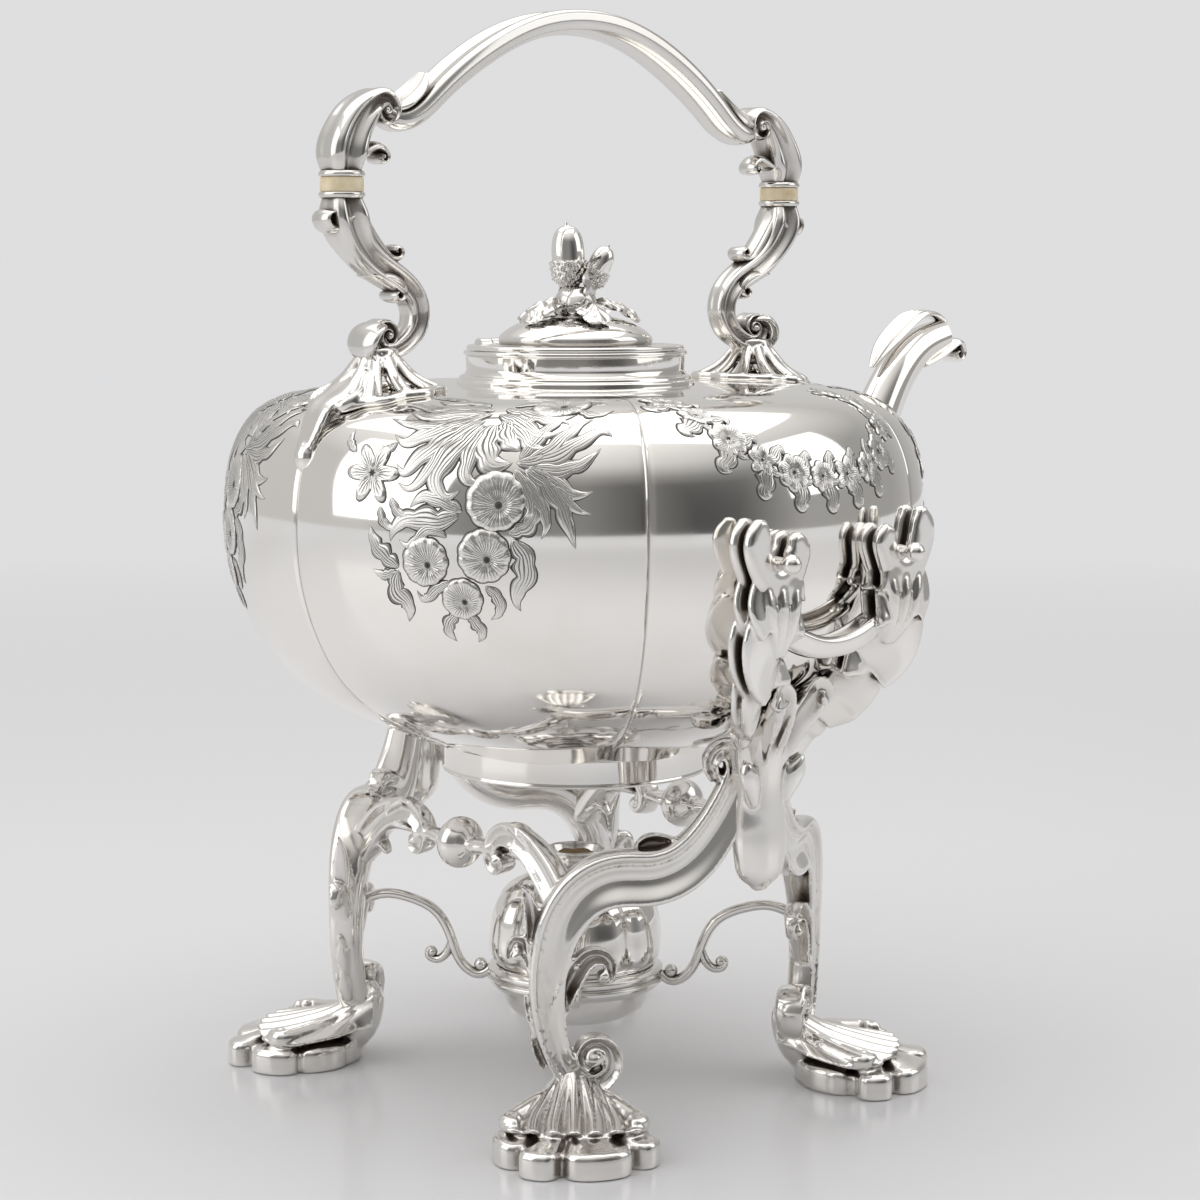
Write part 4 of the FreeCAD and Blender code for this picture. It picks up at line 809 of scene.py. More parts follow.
# %% Handle bases
SHOULDER = slice(0, int(np.argmax(profile[:, 0])))
BASE_FAR, BASE_TOP, BASE_RIBS = 87.0, 257.5, 11
RIB_LINE = [(5.0, 1.00, 1.6, 1.7), (7.4, 0.78, 1.7, 1.9), (11.0, 0.44, 1.7, 2.2), (15.5, 0.18, 1.6, 2.7),
            (19.5, 0.03, 1.4, 3.0)]
BASE_HUB = [(0, 250), (8.2, 251.5), (6.2, 254.0), (5.6, 256.6), (7.2, 258.2), (6.6, 260.0), (0, 260.0)]
BASE_TONGUE = [(4.0, 9.5, 2.2, 4.8), (10.0, 5.2, 2.8, 6.6), (16.0, 2.2, 3.0, 7.6), (21.5, 1.4, 2.9, 6.8)]


def shoulder(far):
    """The height of the body's shoulder at a distance from the axis."""
    return np.interp(far, profile[SHOULDER, 0], profile[SHOULDER, 1])


def base_shell(side):
    """The pierced shell under one end of the handle."""
    middle = side * BASE_FAR
    parts, rim = [], []
    for a in np.radians(range(0, 360, 12)):
        ripple = 1 + 0.055 * math.cos(9 * a)
        x, y = middle + 20.0 * ripple * math.cos(a), 20.5 * ripple * math.sin(a)
        rim.append((x, y, shoulder(math.hypot(x, y)) + 1.0))
    line = cubic(rim, 150, closed=True)
    line = np.vstack([line, line[:1]])
    run = unit(np.gradient(np.vstack([line[-2:-1], line, line[1:2]]), axis=0)[1:-1])
    out, a = unit(np.cross(run, UP)), np.linspace(0, 2 * np.pi, 17)
    wire = 2.0 * out[:, None] * np.cos(a)[None, :, None] + 1.7 * UP * np.sin(a)[None, :, None]
    parts.append(skin("rim", line[:, None] + wire))
    for k in range(BASE_RIBS):
        a = math.radians((180 if side > 0 else 0) + 360 / BASE_RIBS * k)
        c, s = math.cos(a), math.sin(a)
        rows = []
        for far, lift, half, wide in RIB_LINE:
            x, y = middle + far * c, far * 1.02 * s
            low = shoulder(math.hypot(x, y)) + 1.2
            rows.append((x, y, low + lift * (BASE_TOP - low), half, wide))
        parts.append(sweep("rib", rows, (-s, c, 0), OVAL, 26, 16))
    parts.append(placed(lathe("hub", rounded(BASE_HUB, 0.8), 40), (middle, 0, 0)))
    rows = [(middle + side * far, 0, shoulder(BASE_FAR + far) + lift, half, wide)
            for far, lift, half, wide in BASE_TONGUE]
    rows += [(side * 112.8, 0, 232.6, 2.8, 5.4), (side * 115.4, 0, 227.6, 2.5, 4.2)]
    parts.append(sweep("tongue", rows, ACROSS, BAND, 50, 40))
    parts.append(bead((side * 116.0, 0, 224.6), 4.4, (0.9, 1.0, 1.25)))
    for over in (-1, 1):
        rows = [(middle + side * 8, over * 5.0, 251.0, 1.6, 2.4),
                (middle + side * 13, over * 8.5, shoulder(100.4) + 3.6, 1.7, 2.6),
                (middle + side * 18, over * 10.5, shoulder(105.5) + 2.6, 1.6, 2.4),
                (middle + side * 21, over * 7.5, shoulder(108.3) + 2.2, 1.4, 2.0),
                (middle + side * 18, over * 5.8, shoulder(105.2) + 2.6, 1.1, 1.6)]
        parts.append(sweep("volute", rows, UP, OVAL, 40, 16))
        parts.append(bead((middle + side * 17.6, over * 8.0, shoulder(104.9) + 2.6), 1.7))
    return parts


for name, side in (("front", 1), ("rear", -1)):
    shell_base = cast("base_shell_" + name, base_shell(side), 3)
    dress(shell_base, cast_silver, "kettle", "handle_base_" + name, slot="silver")
print("handle bases:", BASE_RIBS, "ribs each")

# %% [markdown]
# Four ball-ended pins on the body's sides lie in the forks of the stand. The front pair is the hinge
# that the kettle tips on.

# %% Pins
PIN_X, PIN_Z, FORK_Y, FORK_DEEP = 28.5, 194.5, 126.2, 5.4
PIN_FOOT, PIN_BALL, PIN_PLAY = 117.0, 3.2, 0.3
for name, x in (("front", PIN_X), ("rear", -PIN_X)):
    pins = []
    for side in (-1, 1):
        seat, ball = FORK_Y - FORK_DEEP - PIN_PLAY, FORK_Y + FORK_DEEP + PIN_PLAY + PIN_BALL
        turned = [(0, PIN_FOOT), (4.2, PIN_FOOT), (4.2, seat - 0.6), (3.6, seat - 0.05), (2.0, seat)]
        turned += [(PIN_BALL * math.sin(t), ball - PIN_BALL * math.cos(t))
                   for t in np.radians(range(40, 181, 10))]
        pin = placed(lathe("pin", turned, 32), (x, 0, PIN_Z), (-side * 90, 0, 0))
        pins.append(pin)
    dress(join("ball_pins_" + name, *pins), cast_silver, "kettle", "pivot_pins_" + name, slot="silver")
print("pins: four")

# %% [markdown]
# A leg is one casting: a long S scroll with a hollowed face, rolled over at its foot, with a hooked
# leaf on one side and a sprig of three on the other. It is modelled once, for the corner at the back
# right, and mirrored to the other corners.

# %% Legs
LEG_X, LEG_Y, LEG_TALL, LEG_HALF, BRACKET_Y = 52.5, 60.0, 130.0, 7.6, 93.0
LEG_NARROW, VOLUTE_EYE, VOLUTE_FLARE = 5.6, (0.090, 0.206), 1.2
CORNERS = {"front_left": (-1, -1, 1), "front_right": (-1, 1, 1), "rear_left": (1, -1, 1),
           "rear_right": (1, 1, 1)}
SIDES = {"left": (1, -1, 1), "right": (1, 1, 1)}
CORNER = np.array((-LEG_X, -LEG_Y, 0.0))
LEG_SPAN = np.array((0.0, -BRACKET_Y, 0.0)) - CORNER
LEG_SIDE = unit(np.cross(LEG_SPAN, UP))
COVE = [(0.46, 0.00), (0.54, 0.26), (0.64, 0.46), (0.58, 0.58), (0.76, 0.68), (0.90, 0.84), (0.76, 1.02),
        (0.30, 1.08), (-0.36, 0.94), (-0.84, 0.56), (-0.98, 0.00), (-0.84, -0.56), (-0.24, -0.94),
        (0.42, -1.06), (0.80, -0.98), (0.76, -0.78), (0.56, -0.40)]
SCOOP = [(0.10, 0.00), (0.50, 0.62), (0.86, 1.00), (0.40, 1.04), (-0.40, 0.86), (-0.80, 0.00), (-0.40, -0.86),
         (0.40, -1.04), (0.86, -1.00), (0.50, -0.62)]
LEG_LINE = [(0.745, 0.915, 0.24), (0.725, 0.958, 0.34), (0.800, 0.990, 0.46), (0.872, 0.960, 0.62),
            (0.850, 0.872, 0.80), (0.740, 0.778, 0.92), (0.580, 0.698, 1.06), (0.398, 0.668, 1.14),
            (0.220, 0.668, 1.16), (0.060, 0.640, 1.10), (-0.060, 0.575, 0.98), (-0.130, 0.482, 0.84),
            (-0.150, 0.352, 0.70), (-0.093, 0.222, 0.58), (-0.010, 0.158, 0.50), (0.095, 0.140, 0.46)]


def leg_at(u, w):
    """A place in the leg's upright plane."""
    return CORNER + LEG_SPAN * u + UP * (w * LEG_TALL)


def leg_rows(shares, thick=1.0, wide=1.0):
    """Rows of a scroll in the leg's plane."""
    return [(*leg_at(u, w), LEG_HALF * h * thick, LEG_HALF * h * wide) for u, w, h in shares]


def mirrored(piece, flips, name, nodes):
    """Copies of a piece of the stand, one for each place it is mirrored to."""
    for place, flip in flips.items():
        made = copy_of(piece, name + place, flip)
        dress(made, cast_silver, "stand", nodes + place, slot="silver")
    bpy.data.objects.remove(piece)


def leaf_curl(shares, eye, thick, wide, outline=SCOOP, turns=0.75, dot=1.7):
    """A leaf that ends in a curl with a bead, in the leg's plane."""
    rows = [(*leg_at(u, w), thick * h, wide * h) for u, w, h in shares]
    return [sweep("leaf", curl(rows, leg_at(*eye), LEG_SIDE, turns, 0.3), LEG_SIDE, outline, 60, 30),
            bead(leg_at(*eye) + LEG_SIDE * wide * 0.3, dot, (1.2, 1.2, 1.0))]


rows = leg_rows(LEG_LINE)
rows = [row[:4] + (max(row[4], LEG_NARROW),) for row in rows]
rows = curl(rows, leg_at(*VOLUTE_EYE), LEG_SIDE, 0.92, 0.30)
rows = [row[:4] + (row[4] + VOLUTE_FLARE * max(0, k - len(LEG_LINE)) / CURL_STEPS,)
        for k, row in enumerate(rows)]
parts = [sweep("leg", rows, LEG_SIDE, COVE, 170, 60)]
parts.append(bead(leg_at(*VOLUTE_EYE) + LEG_SIDE * 2.5, 3.0, (1.2, 1.2, 1.0)))
parts.append(bead(leg_at(0.752, 0.930), 2.2))
parts += leaf_curl([(-0.110, 0.270, 0.5), (-0.075, 0.350, 0.9), (0.000, 0.425, 1.0), (0.095, 0.468, 0.9),
                    (0.175, 0.455, 0.7), (0.190, 0.415, 0.5)], (0.155, 0.418), 3.4, 5.4)
parts += leaf_curl([(-0.150, 0.330, 0.5), (-0.195, 0.400, 0.9), (-0.250, 0.480, 0.9), (-0.318, 0.512, 0.7),
                    (-0.350, 0.480, 0.5)], (-0.318, 0.474), 2.9, 4.2, dot=1.4)
for shares in ([(-0.185, 0.400, 0.5), (-0.215, 0.480, 0.8), (-0.225, 0.560, 0.8), (-0.250, 0.620, 0.5),
                (-0.280, 0.652, 0.15)],
               [(-0.195, 0.270, 0.5), (-0.222, 0.310, 0.6), (-0.248, 0.348, 0.4), (-0.270, 0.372, 0.12)],
               [(-0.160, 0.190, 0.5), (-0.190, 0.228, 0.6), (-0.216, 0.262, 0.4), (-0.232, 0.290, 0.12)]):
    parts.append(sweep("tip", leg_rows(shares, 0.46, 0.60), LEG_SIDE, SCOOP, 40, 26))
parts += leaf_curl([(0.640, 0.765, 0.6), (0.540, 0.742, 0.9), (0.440, 0.752, 1.0), (0.370, 0.748, 0.8),
                    (0.345, 0.715, 0.5)], (0.376, 0.716), 3.2, 5.4, dot=1.8)
leg = cast("leg", parts)
print("leg:", len(leg.data.polygons), "faces")
mirrored(leg, CORNERS, "scroll_leg_", "leg_")

# %% [markdown]
# Each foot is a shell on a thick lobed plate. The plate's wall is rounded over at the top, and the
# shell's flutes fan out from the leg to a wavy lip that lies on the plate.

# %% Feet
OUTWARD = unit(CORNER)
SIDEWAYS = np.cross(UP, OUTWARD)
FOOT_MIDDLE, FOOT_REACH, FOOT_WIDE = 100.0, 26.0, 30.0
TOES = [(-74, 25, 0.96), (-26, 15, 1.04), (20, 27, 1.00), (70, 17, 1.02), (122, 27, 0.87), (180, 30, 0.83),
        (234, 24, 0.88)]
TOE_ROOT, TOE_DIP = 0.79, 0.16
FAN_LOW, FLUTES = 10.2, 7


def on_foot(far, over, z):
    """Places on the foot: outwards from the axis, across and up."""
    far, over, z = np.broadcast_arrays(far, over, z)
    return far[..., None] * OUTWARD + over[..., None] * SIDEWAYS + z[..., None] * UP


a = np.linspace(0, 2 * np.pi, 225)[None]
toe, reach = np.zeros_like(a), np.full_like(a, TOE_ROOT)
for middle, half, far in TOES:
    off = np.abs((np.degrees(a) - middle + 180) % 360 - 180) / half
    round_end = np.sqrt(np.clip(1 - off ** 3, 0, 1))
    reach = np.maximum(reach, TOE_ROOT + (far - TOE_ROOT) * round_end)
    toe = np.maximum(toe, round_end)
narrow = 0.92 + 0.08 * np.cos(a)
wall = np.array([(0.0, 0.0), (0.97, 0.0), (0.995, 0.4), (1.0, 3.0), (1.0, 6.6), (0.985, 7.9), (0.95, 8.7),
                 (0.91, 8.9), (0.87, 9.1), (0.80, 9.4), (0.70, 10.2), (0.55, 10.9), (0.30, 11.2),
                 (0.0, 11.2)])
size, rise = wall[:, :1], wall[:, 1:]
dip = TOE_DIP * (1 - toe) * (rise > 5) * (size > 0.6)
plate = skin("plate", on_foot(FOOT_MIDDLE + FOOT_REACH * reach * size * np.cos(a),
                              FOOT_WIDE * reach * narrow * size * np.sin(a), rise * (1 - dip)))
FAN = cubic([(-1.06, 0.24, 27.0), (-0.92, 0.26, 25.0), (-0.70, 0.34, 22.0), (-0.36, 0.54, 17.4),
             (0.02, 0.70, 14.4), (0.34, 0.78, 12.4), (0.56, 0.78, 11.4)], 60)
t, across = np.linspace(0, 1, 60)[:, None], np.linspace(-1, 1, 141)[None]
flute = np.abs(np.cos(np.pi * FLUTES / 2 * across)) ** 0.8 - 0.6
spread = np.sqrt(1 - 0.96 * across ** 2)
far = FOOT_MIDDLE + FOOT_REACH * (FAN[:, :1] - 0.30 * t * across ** 2 + 0.14 * t ** 4 * flute)
top = FAN_LOW + (FAN[:, 2:] - FAN_LOW) * spread + flute * (0.9 + 2.3 * t) * np.sqrt(1 - across ** 2 * 0.9)
fan = thicken(skin("fan", on_foot(far, FOOT_WIDE * FAN[:, 1:2] * across, top)), 1.6)
parts = [plate, fan]
neck = [(83.0, 8.0, 6.5), (79.5, 13.0, 7.2), (76.8, 18.0, 6.4), (76.0, 22.5, 5.6), (77.0, 26.0, 4.6)]
neck_rows = [(*on_foot(f, 1.0, z), h, h * 1.05) for f, z, h in neck]
parts.append(sweep("ankle", neck_rows, SIDEWAYS, OVAL, 30, 36))
for over in (-1, 1):
    rows = [(*on_foot(f, over * y, z), h, h * 1.3) for f, y, z, h in (
        (84.0, 6.0, 15.0, 2.6), (90.0, 13.0, 14.0, 2.8), (98.0, 19.0, 12.6, 2.6), (104.0, 22.0, 12.4, 2.2),
        (107.0, 19.0, 13.0, 1.6))]
    parts.append(sweep("volute", rows, UP, OVAL, 40, 20))
    parts.append(bead(on_foot(103.5, over * 19.0, 13.4), 2.5))
foot = cast("foot", parts)
print("foot:", len(foot.data.polygons), "faces")
mirrored(foot, CORNERS, "shell_foot_", "foot_")

# %% [markdown]
# The brackets carry the kettle. From a stout stem two arms rise and part. Each arm is a pair of leafy
# cheeks with a slot between them, and its top is an open fork whose horns hold a pin.

# %% Brackets
STEM = [(0.00, 0.000, 0.34), (0.00, 0.045, 0.66), (0.00, 0.150, 0.92), (0.00, 0.300, 1.00),
        (0.00, 0.500, 0.92), (0.02, 0.720, 0.88), (0.05, 0.900, 0.98), (0.09, 1.060, 0.92)]
LEAN = FORK_Y - BRACKET_Y
STEM_LOW, STEM_TALL, STEM_HALF, STEM_WIDE = 82, 52, 7, 10.6
rows = [(0, -BRACKET_Y - u * LEAN, STEM_LOW + w * STEM_TALL, STEM_HALF * h, STEM_WIDE * h)
        for u, w, h in STEM]
parts = [sweep("stem", rows, ALONG, OVAL, 70, 56)]
for over in (-1, 1):
    rows = [(over * x, y, z, h, h * 1.1) for x, y, z, h in (
        (2.0, -98.0, 126.0, 3.4), (3.4, -103.0, 136.0, 4.6), (6.2, -108.0, 144.5, 4.8),
        (9.6, -111.5, 148.5, 3.8), (11.8, -112.3, 145.6, 2.4))]
    parts.append(sweep("crotch_leaf", rows, (0, -1, 0.3), SCOOP, 50, 26))
    rows = [(over * x, y, z, h, 2.2) for x, y, z, h in (
        (7.4, -97.0, 111.0, 1.8), (9.0, -98.4, 116.0, 3.4), (11.0, -99.2, 121.0, 3.8),
        (12.6, -98.8, 124.6, 1.6))]
    parts.append(sweep("stem_leaf", rows, (0, -1, 0.1), OVAL, 40, 26))
stem = cast("stem", parts)
mirrored(stem, SIDES, "stem_", "bracket_stem_")

ARM = [(0.20, 0.03, 0.00, 0.86, 0.36), (0.40, 0.20, 0.22, 1.00, 0.44), (0.67, 0.60, 0.44, 1.04, 0.70),
       (0.88, 0.86, 0.64, 1.16, 0.92), (0.95, 0.985, 0.84, 1.20, 1.00), (0.96, 1.00, 1.00, 1.10, 1.00)]
YOKE = [(-1.20, 1.16, 0.50), (-1.26, 0.96, 0.86), (-1.34, 0.60, 1.12), (-1.10, 0.00, 1.10),
        (-0.707, -0.707, 1.00), (0.00, -1.00, 1.00), (0.707, -0.707, 1.02), (1.08, 0.00, 1.02),
        (1.20, 0.40, 1.00), (1.06, 0.66, 0.62)]
PLATE = [(1.00, 0.00), (0.98, 0.55), (0.72, 0.92), (0.00, 1.04), (-0.72, 0.92), (-0.98, 0.55), (-1.00, 0.00),
         (-0.98, -0.55), (-0.72, -0.92), (0.00, -1.04), (0.72, -0.92), (0.98, -0.55)]
ARM_SIDE = unit(np.array((0, -1, 0.30)))
CHEEK_OUT, CHEEK_HALF, CHEEK_WIDE = 3.25, 2.05, 8.3
FORK_HALF, FORK_R, HORN_TALL = 4.6, 6.85, 11.0
ARM_LOW, ARM_HIGH = 123.0, PIN_Z - 2.25 - FORK_HALF
LOBES, LOBE_DEEP = 3.4, 5.2
parts = []
for face in (-1, 1):
    line = cubic([(-u * PIN_X, -BRACKET_Y - v * LEAN + face * s * CHEEK_OUT,
                   ARM_LOW + w * (ARM_HIGH - ARM_LOW), CHEEK_WIDE * h, CHEEK_HALF) for u, v, w, h, s in ARM],
                 90)
    t = np.linspace(0, 1, 90)
    wave = LOBE_DEEP * np.abs(np.sin(np.pi * (LOBES * t + 0.1))) ** 0.6
    wave = wave * np.clip(t * 5 - 0.9, 0, 1) * np.clip((1.04 - t) * 8, 0, 1)
    line[:, 0] -= wave / 2
    line[:, 3] += wave / 2
    parts.append(sweep("cheek", line, ARM_SIDE, PLATE, 120, 40))
    rows = [(-PIN_X + u * FORK_R, -FORK_Y + face * CHEEK_OUT, PIN_Z + w * (FORK_R if w < 0 else HORN_TALL),
             FORK_HALF * h, CHEEK_HALF * 1.05) for u, w, h in YOKE]
    parts.append(sweep("yoke", rows, (0, -1, 0), PLATE, 80, 40))
    for lean in (-5.2, 0.0, 5.2):
        rows = [(-25.4 + lean * 0.3, -122.4 + face * 3.9, 165.0, 1.2, 1.5),
                (-27.6 + lean * 0.8, -125.6 + face * 4.5, 174.5, 2.2, 2.1),
                (-28.3 + lean * 1.1, -126.2 + face * 4.3, 182.5, 2.5, 2.2),
                (-28.4 + lean * 1.2, -126.2 + face * 3.9, 186.5, 1.8, 1.7)]
        parts.append(sweep("rib", rows, ARM_SIDE, OVAL, 30, 20))
web = [(-0.26 * PIN_X, -95.0, 126.0, 4.4, 2.2), (-0.44 * PIN_X, -101.0, 138.0, 5.0, 2.2),
       (-0.68 * PIN_X, -112.5, 150.0, 4.6, 1.6), (-0.84 * PIN_X, -119.5, 160.0, 3.6, 1.2)]
parts.append(sweep("web", web, ARM_SIDE, OVAL, 40, 24))
arm = cast("arm", parts)
print("fork arm:", len(arm.data.polygons), "faces")
mirrored(arm, CORNERS, "leaf_arm_", "fork_arm_")
BAR = [(-1.00, 1.00, 0.95), (-0.55, 0.30, 1.00), (0.00, 0.00, 0.92), (0.55, 0.30, 1.00), (1.00, 1.00, 0.95)]
trough = [(1.0, 0.75), (0.72, 0.98), (0.40, 0.40), (0.0, 0.16), (-0.40, 0.40), (-0.72, 0.98), (-1.0, 0.75),
          (-0.95, 0.0), (-0.62, -0.78), (0.0, -0.95), (0.62, -0.78), (0.95, 0.0)]
rows = [(u * PIN_X * 0.74, -BRACKET_Y - LEAN * 0.93, 165 + w * 6.0, 4 * h, 4.6 * h) for u, w, h in BAR]
bar = sweep("tie_bar", rows, ACROSS, trough, 60, 48)
mirrored(bar, SIDES, "tie_bar_", "bracket_crossbar_")

# %% [markdown]
# Between the legs at the front and the back hangs an apron: a turned knop in the middle, and a C scroll
# on each side of it, with a leaf at its root.

# %% Aprons
APRON_Z, APRON_TALL, APRON_HALF = 89.0, 10.0, 5.4
APRON = [(0.930, -1.20, 1.00), (0.810, -0.34, 0.98), (0.680, 0.30, 0.90), (0.540, 0.66, 0.80),
         (0.410, 0.66, 0.68), (0.330, 0.26, 0.56), (0.318, -0.24, 0.46)]
rows = [(-LEG_X, -u * LEG_Y, APRON_Z + w * APRON_TALL, APRON_HALF * h, 5.6 * max(h, 0.8))
        for u, w, h in APRON]
eye = np.array((-LEG_X, -0.376 * LEG_Y, APRON_Z - 2.6))
parts = [sweep("c_scroll", curl(rows, eye, ALONG, 0.75, 0.3), ALONG, [(-x, y) for x, y in COVE], 100, 52),
         bead(eye, 2.2, (2.2, 1, 1))]
rows = [(-LEG_X, -u * LEG_Y, APRON_Z + w, h, h * 1.5) for u, w, h in (
    (0.06, 0.0, 2.2), (0.16, 0.2, 2.8), (0.26, 0.6, 2.4), (0.36, 0.4, 2.6))]
parts.append(sweep("link", rows, ALONG, OVAL, 30, 24))
for rise in (-1, 1):
    rows = [(-LEG_X, -u * LEG_Y, APRON_Z + w, h, h * 1.9) for u, w, h in (
        (0.640, 2.2 + rise * 2.4, 1.6), (0.560, 5.0 + rise * 3.6, 2.1), (0.470, 5.4 + rise * 4.6, 1.4),
        (0.410, 4.6 + rise * 4.4, 0.6))]
    parts.append(sweep("leaf", rows, ALONG, OVAL, 36, 24))
rows = [(-LEG_X, -u * LEG_Y, APRON_Z + w, h, h * 1.6) for u, w, h in (
    (0.900, -14.0, 2.4), (0.800, -9.0, 2.6), (0.735, -7.5, 1.9), (0.690, -10.0, 1.2))]
parts.append(sweep("drop", rows, ALONG, OVAL, 36, 24))
apron = cast("apron", parts)
mirrored(apron, CORNERS, "apron_c_", "apron_scroll_")
KNOP = rounded([(0, -8.5), (3.0, -8.3), (3.4, -6.6), (6.8, -4.6), (8.6, -2.2), (9.0, 0.0), (8.6, 2.2),
                (6.8, 4.6), (3.4, 6.6), (3.0, 8.3), (0, 8.5)], 1.2)
for name, side in (("front", 1), ("rear", -1)):
    knop = placed(lathe("knop_" + name, KNOP, 56), (side * LEG_X, 0, APRON_Z), (90, 0, 0))
    dress(knop, cast_silver, "stand", "apron_knop_" + name, slot="silver")
print("aprons: four scrolls and two knops")

# %% [markdown]
# The spirit burner drops into a moulded ring that four thin scrolls tie to the legs. Its bulb has
# eight soft lobes, and a cup at its top holds the wick.

# %% Burner
TIE = [(1.00, 0.00, 1.10), (0.80, 0.22, 1.00), (0.60, 0.16, 1.00), (0.40, -0.10, 1.00), (0.28, -0.66, 1.00),
       (0.18, -1.20, 1.00), (0.06, -1.34, 1.00), (-0.02, -1.20, 0.90)]
TIE_LEAF = [(0.28, -0.66, 0.80), (0.33, -0.98, 0.90), (0.40, -1.08, 0.80), (0.46, -0.98, 0.70)]
RING_R, TIE_Z, TIE_RISE = 31.5, 57, 18
WICK_R = 6.9
TIE_FAR = np.linalg.norm(CORNER) - RING_R


def tie_at(u, w):
    """A place in the upright plane through the axis and a leg."""
    return OUTWARD * (RING_R + u * TIE_FAR) + UP * (TIE_Z + w * TIE_RISE)


def tie_rows(shares):
    """Rows of a thin scroll between the ring and a leg."""
    return [(*tie_at(u, w), 1.8 * h, 2.1 * h) for u, w, h in shares]


eye = tie_at(0.425, -0.93)
tie = join("tie", sweep("tie", tie_rows(TIE), SIDEWAYS, OVAL, 70, 18),
           sweep("tie_leaf", curl(tie_rows(TIE_LEAF), eye, SIDEWAYS, 0.6, 0.4), SIDEWAYS, OVAL, 40, 18),
           bead(eye, 1.8), bead(OUTWARD * 34.4 + UP * 36.4, 2.4))
mirrored(tie, CORNERS, "burner_tie_", "burner_arm_")
RING = [(27.6, 31.0), (29.4, 31.0), (30.2, 32.0), (RING_R, 33.2), (RING_R, 34.6), (30.6, 35.2), (31.4, 36.2),
        (31.4, 37.6), (30.0, 38.6), (29.0, 39.0), (27.6, 39.0), (27.6, 31.0)]
ring_carrier = lathe("burner_ring", rounded(RING, 0.4))
dress(ring_carrier, cast_silver, "stand", "burner_carrier", slot="silver")
BOWL = cubic([(14.2, 19.0), (23.5, 23.1), (26.8, 29.6), (27.3, 39.3)], 24)
INSIDE = [(25.8, 39.3), (25.3, 30.0), (22.0, 24.6), (14.0, 20.8), (0, 20.8)]
bowl = lathe("burner_cup", [(0, 19.6), (10.0, 19.6), (11.0, 19.0)] + list(BOWL) + INSIDE)
dress(bowl, plain_silver, "burner", "burner_bowl", slot="silver")
line = cubic([(28.5, 39.3), (30.7, 43.0), (31.0, 51.0), (29.5, 58.9), (24.8, 65.7), (17.4, 69.4),
              (11.8, 70.0)], 40)
a = np.linspace(0, 2 * np.pi, 193)[None]
lobes = 1 - 0.05 * np.abs(np.cos(4 * a)) ** 6 * np.interp(line[:, 1:2], (39, 46, 64, 70), (0.3, 1, 1, 0.2))
rims = [np.full_like(a, r) for r in (11.8, 11.5, 8.05, 8.05)]
far = np.vstack([np.full_like(a, 26.0), line[:, :1] * lobes, *rims])
rise = np.r_[39.3, line[:, 1], 70.4, 71.5, 71.5, 60.0][:, None]
bulb = skin("burner_lobes", round_axis(far, a, rise))
dress(bulb, plain_silver, "burner", "burner_bulb", slot="silver")
cup = lathe("wick_cup",
            rounded([(7.0, 51.5), (8.0, 51.5), (8.0, 71.5), (11.5, 71.5), (11.5, 72.5), (8.6, 73.4),
                     (9.4, 76.0), (10.8, 79.4), (10.5, 80.0), (9.8, 79.6), (8.4, 76.0), (7.0, 73.0),
                     (7.0, 51.5)], 0.3), 64)
dress(cup, old_silver, "wick_holder", "wick_tube", slot="silver")
v, a = np.linspace(0, 1, 25)[:, None], np.linspace(0, 2 * np.pi, 97)[None]
far = WICK_R * np.interp(v, (0, 0.02, 0.80, 0.92, 1.0), (0, 1.0, 1.0, 0.94, 0))
far = far * (1 - 0.05 * np.abs(np.sin(8 * a)))
rise = np.interp(v, (0, 0.02, 0.80, 0.90, 1.0), (51.5, 51.5, 76.0, 78.2, 78.4))
rise = rise + 0.9 * np.sin(5 * a) * np.sin(np.pi * v) * (v > 0.8)
wick = skin("wick_bundle", round_axis(far, a, rise))
dress(wick, cotton, "wick_holder", "wick", slot="wick")
print("burner: bowl, bulb, cup and wick")

# %% [markdown]
# Flowers are cut into each panel: on four panels a hanging spray of blooms under leafy scrolls, on the
# two that face the brackets a garland round a blank field. Petals and leaves are thin sheets that lie
# on the silver, crowned a little, and their edges meet it. A spray is modelled once and turned to its panels.

# %% Engraved flowers
LIFT, SPRAY_WALL = 0.55, 0.35
LEAF_LOBES = 3.2


def sheet_on_panel(name, s, a, lift, paint):
    """A thin crowned sheet that lies on the panel facing +X."""
    piece = skin(name, on_panel(s, a, lift))
    piece.data.materials.append(paint.material)
    return piece


def bloom(s, a, size, lobes=9, lean=(0.12, 0.15), wavy=0.05, pointed=0.0):
    """An open flower: ribbed petals round an eye that is drawn to one side."""
    out, turn = np.linspace(0, 1, 13)[:, None], np.linspace(0, 2 * np.pi, 12 * lobes + 1)[None]
    petal = np.abs(np.cos(lobes * turn / 2))
    edge = size * (1 + wavy * (petal - 0.5) + pointed * (petal ** 1.5 - 1))
    across = s + edge * out * np.cos(turn) + lean[0] * size * (1 - out ** 1.5)
    down = a + edge * out * np.sin(turn) + lean[1] * size * (1 - out ** 1.5)
    crown = np.interp(out, (0, 0.12, 0.2, 0.5, 0.85, 1.0), (0.55, 0.35, 0.25, 1.0, 0.95, -0.1))
    return sheet_on_panel("bloom", across, down, 1.6 * LIFT * crown * (1 + 0.22 * (petal - 0.5)),
                          petal_silver)


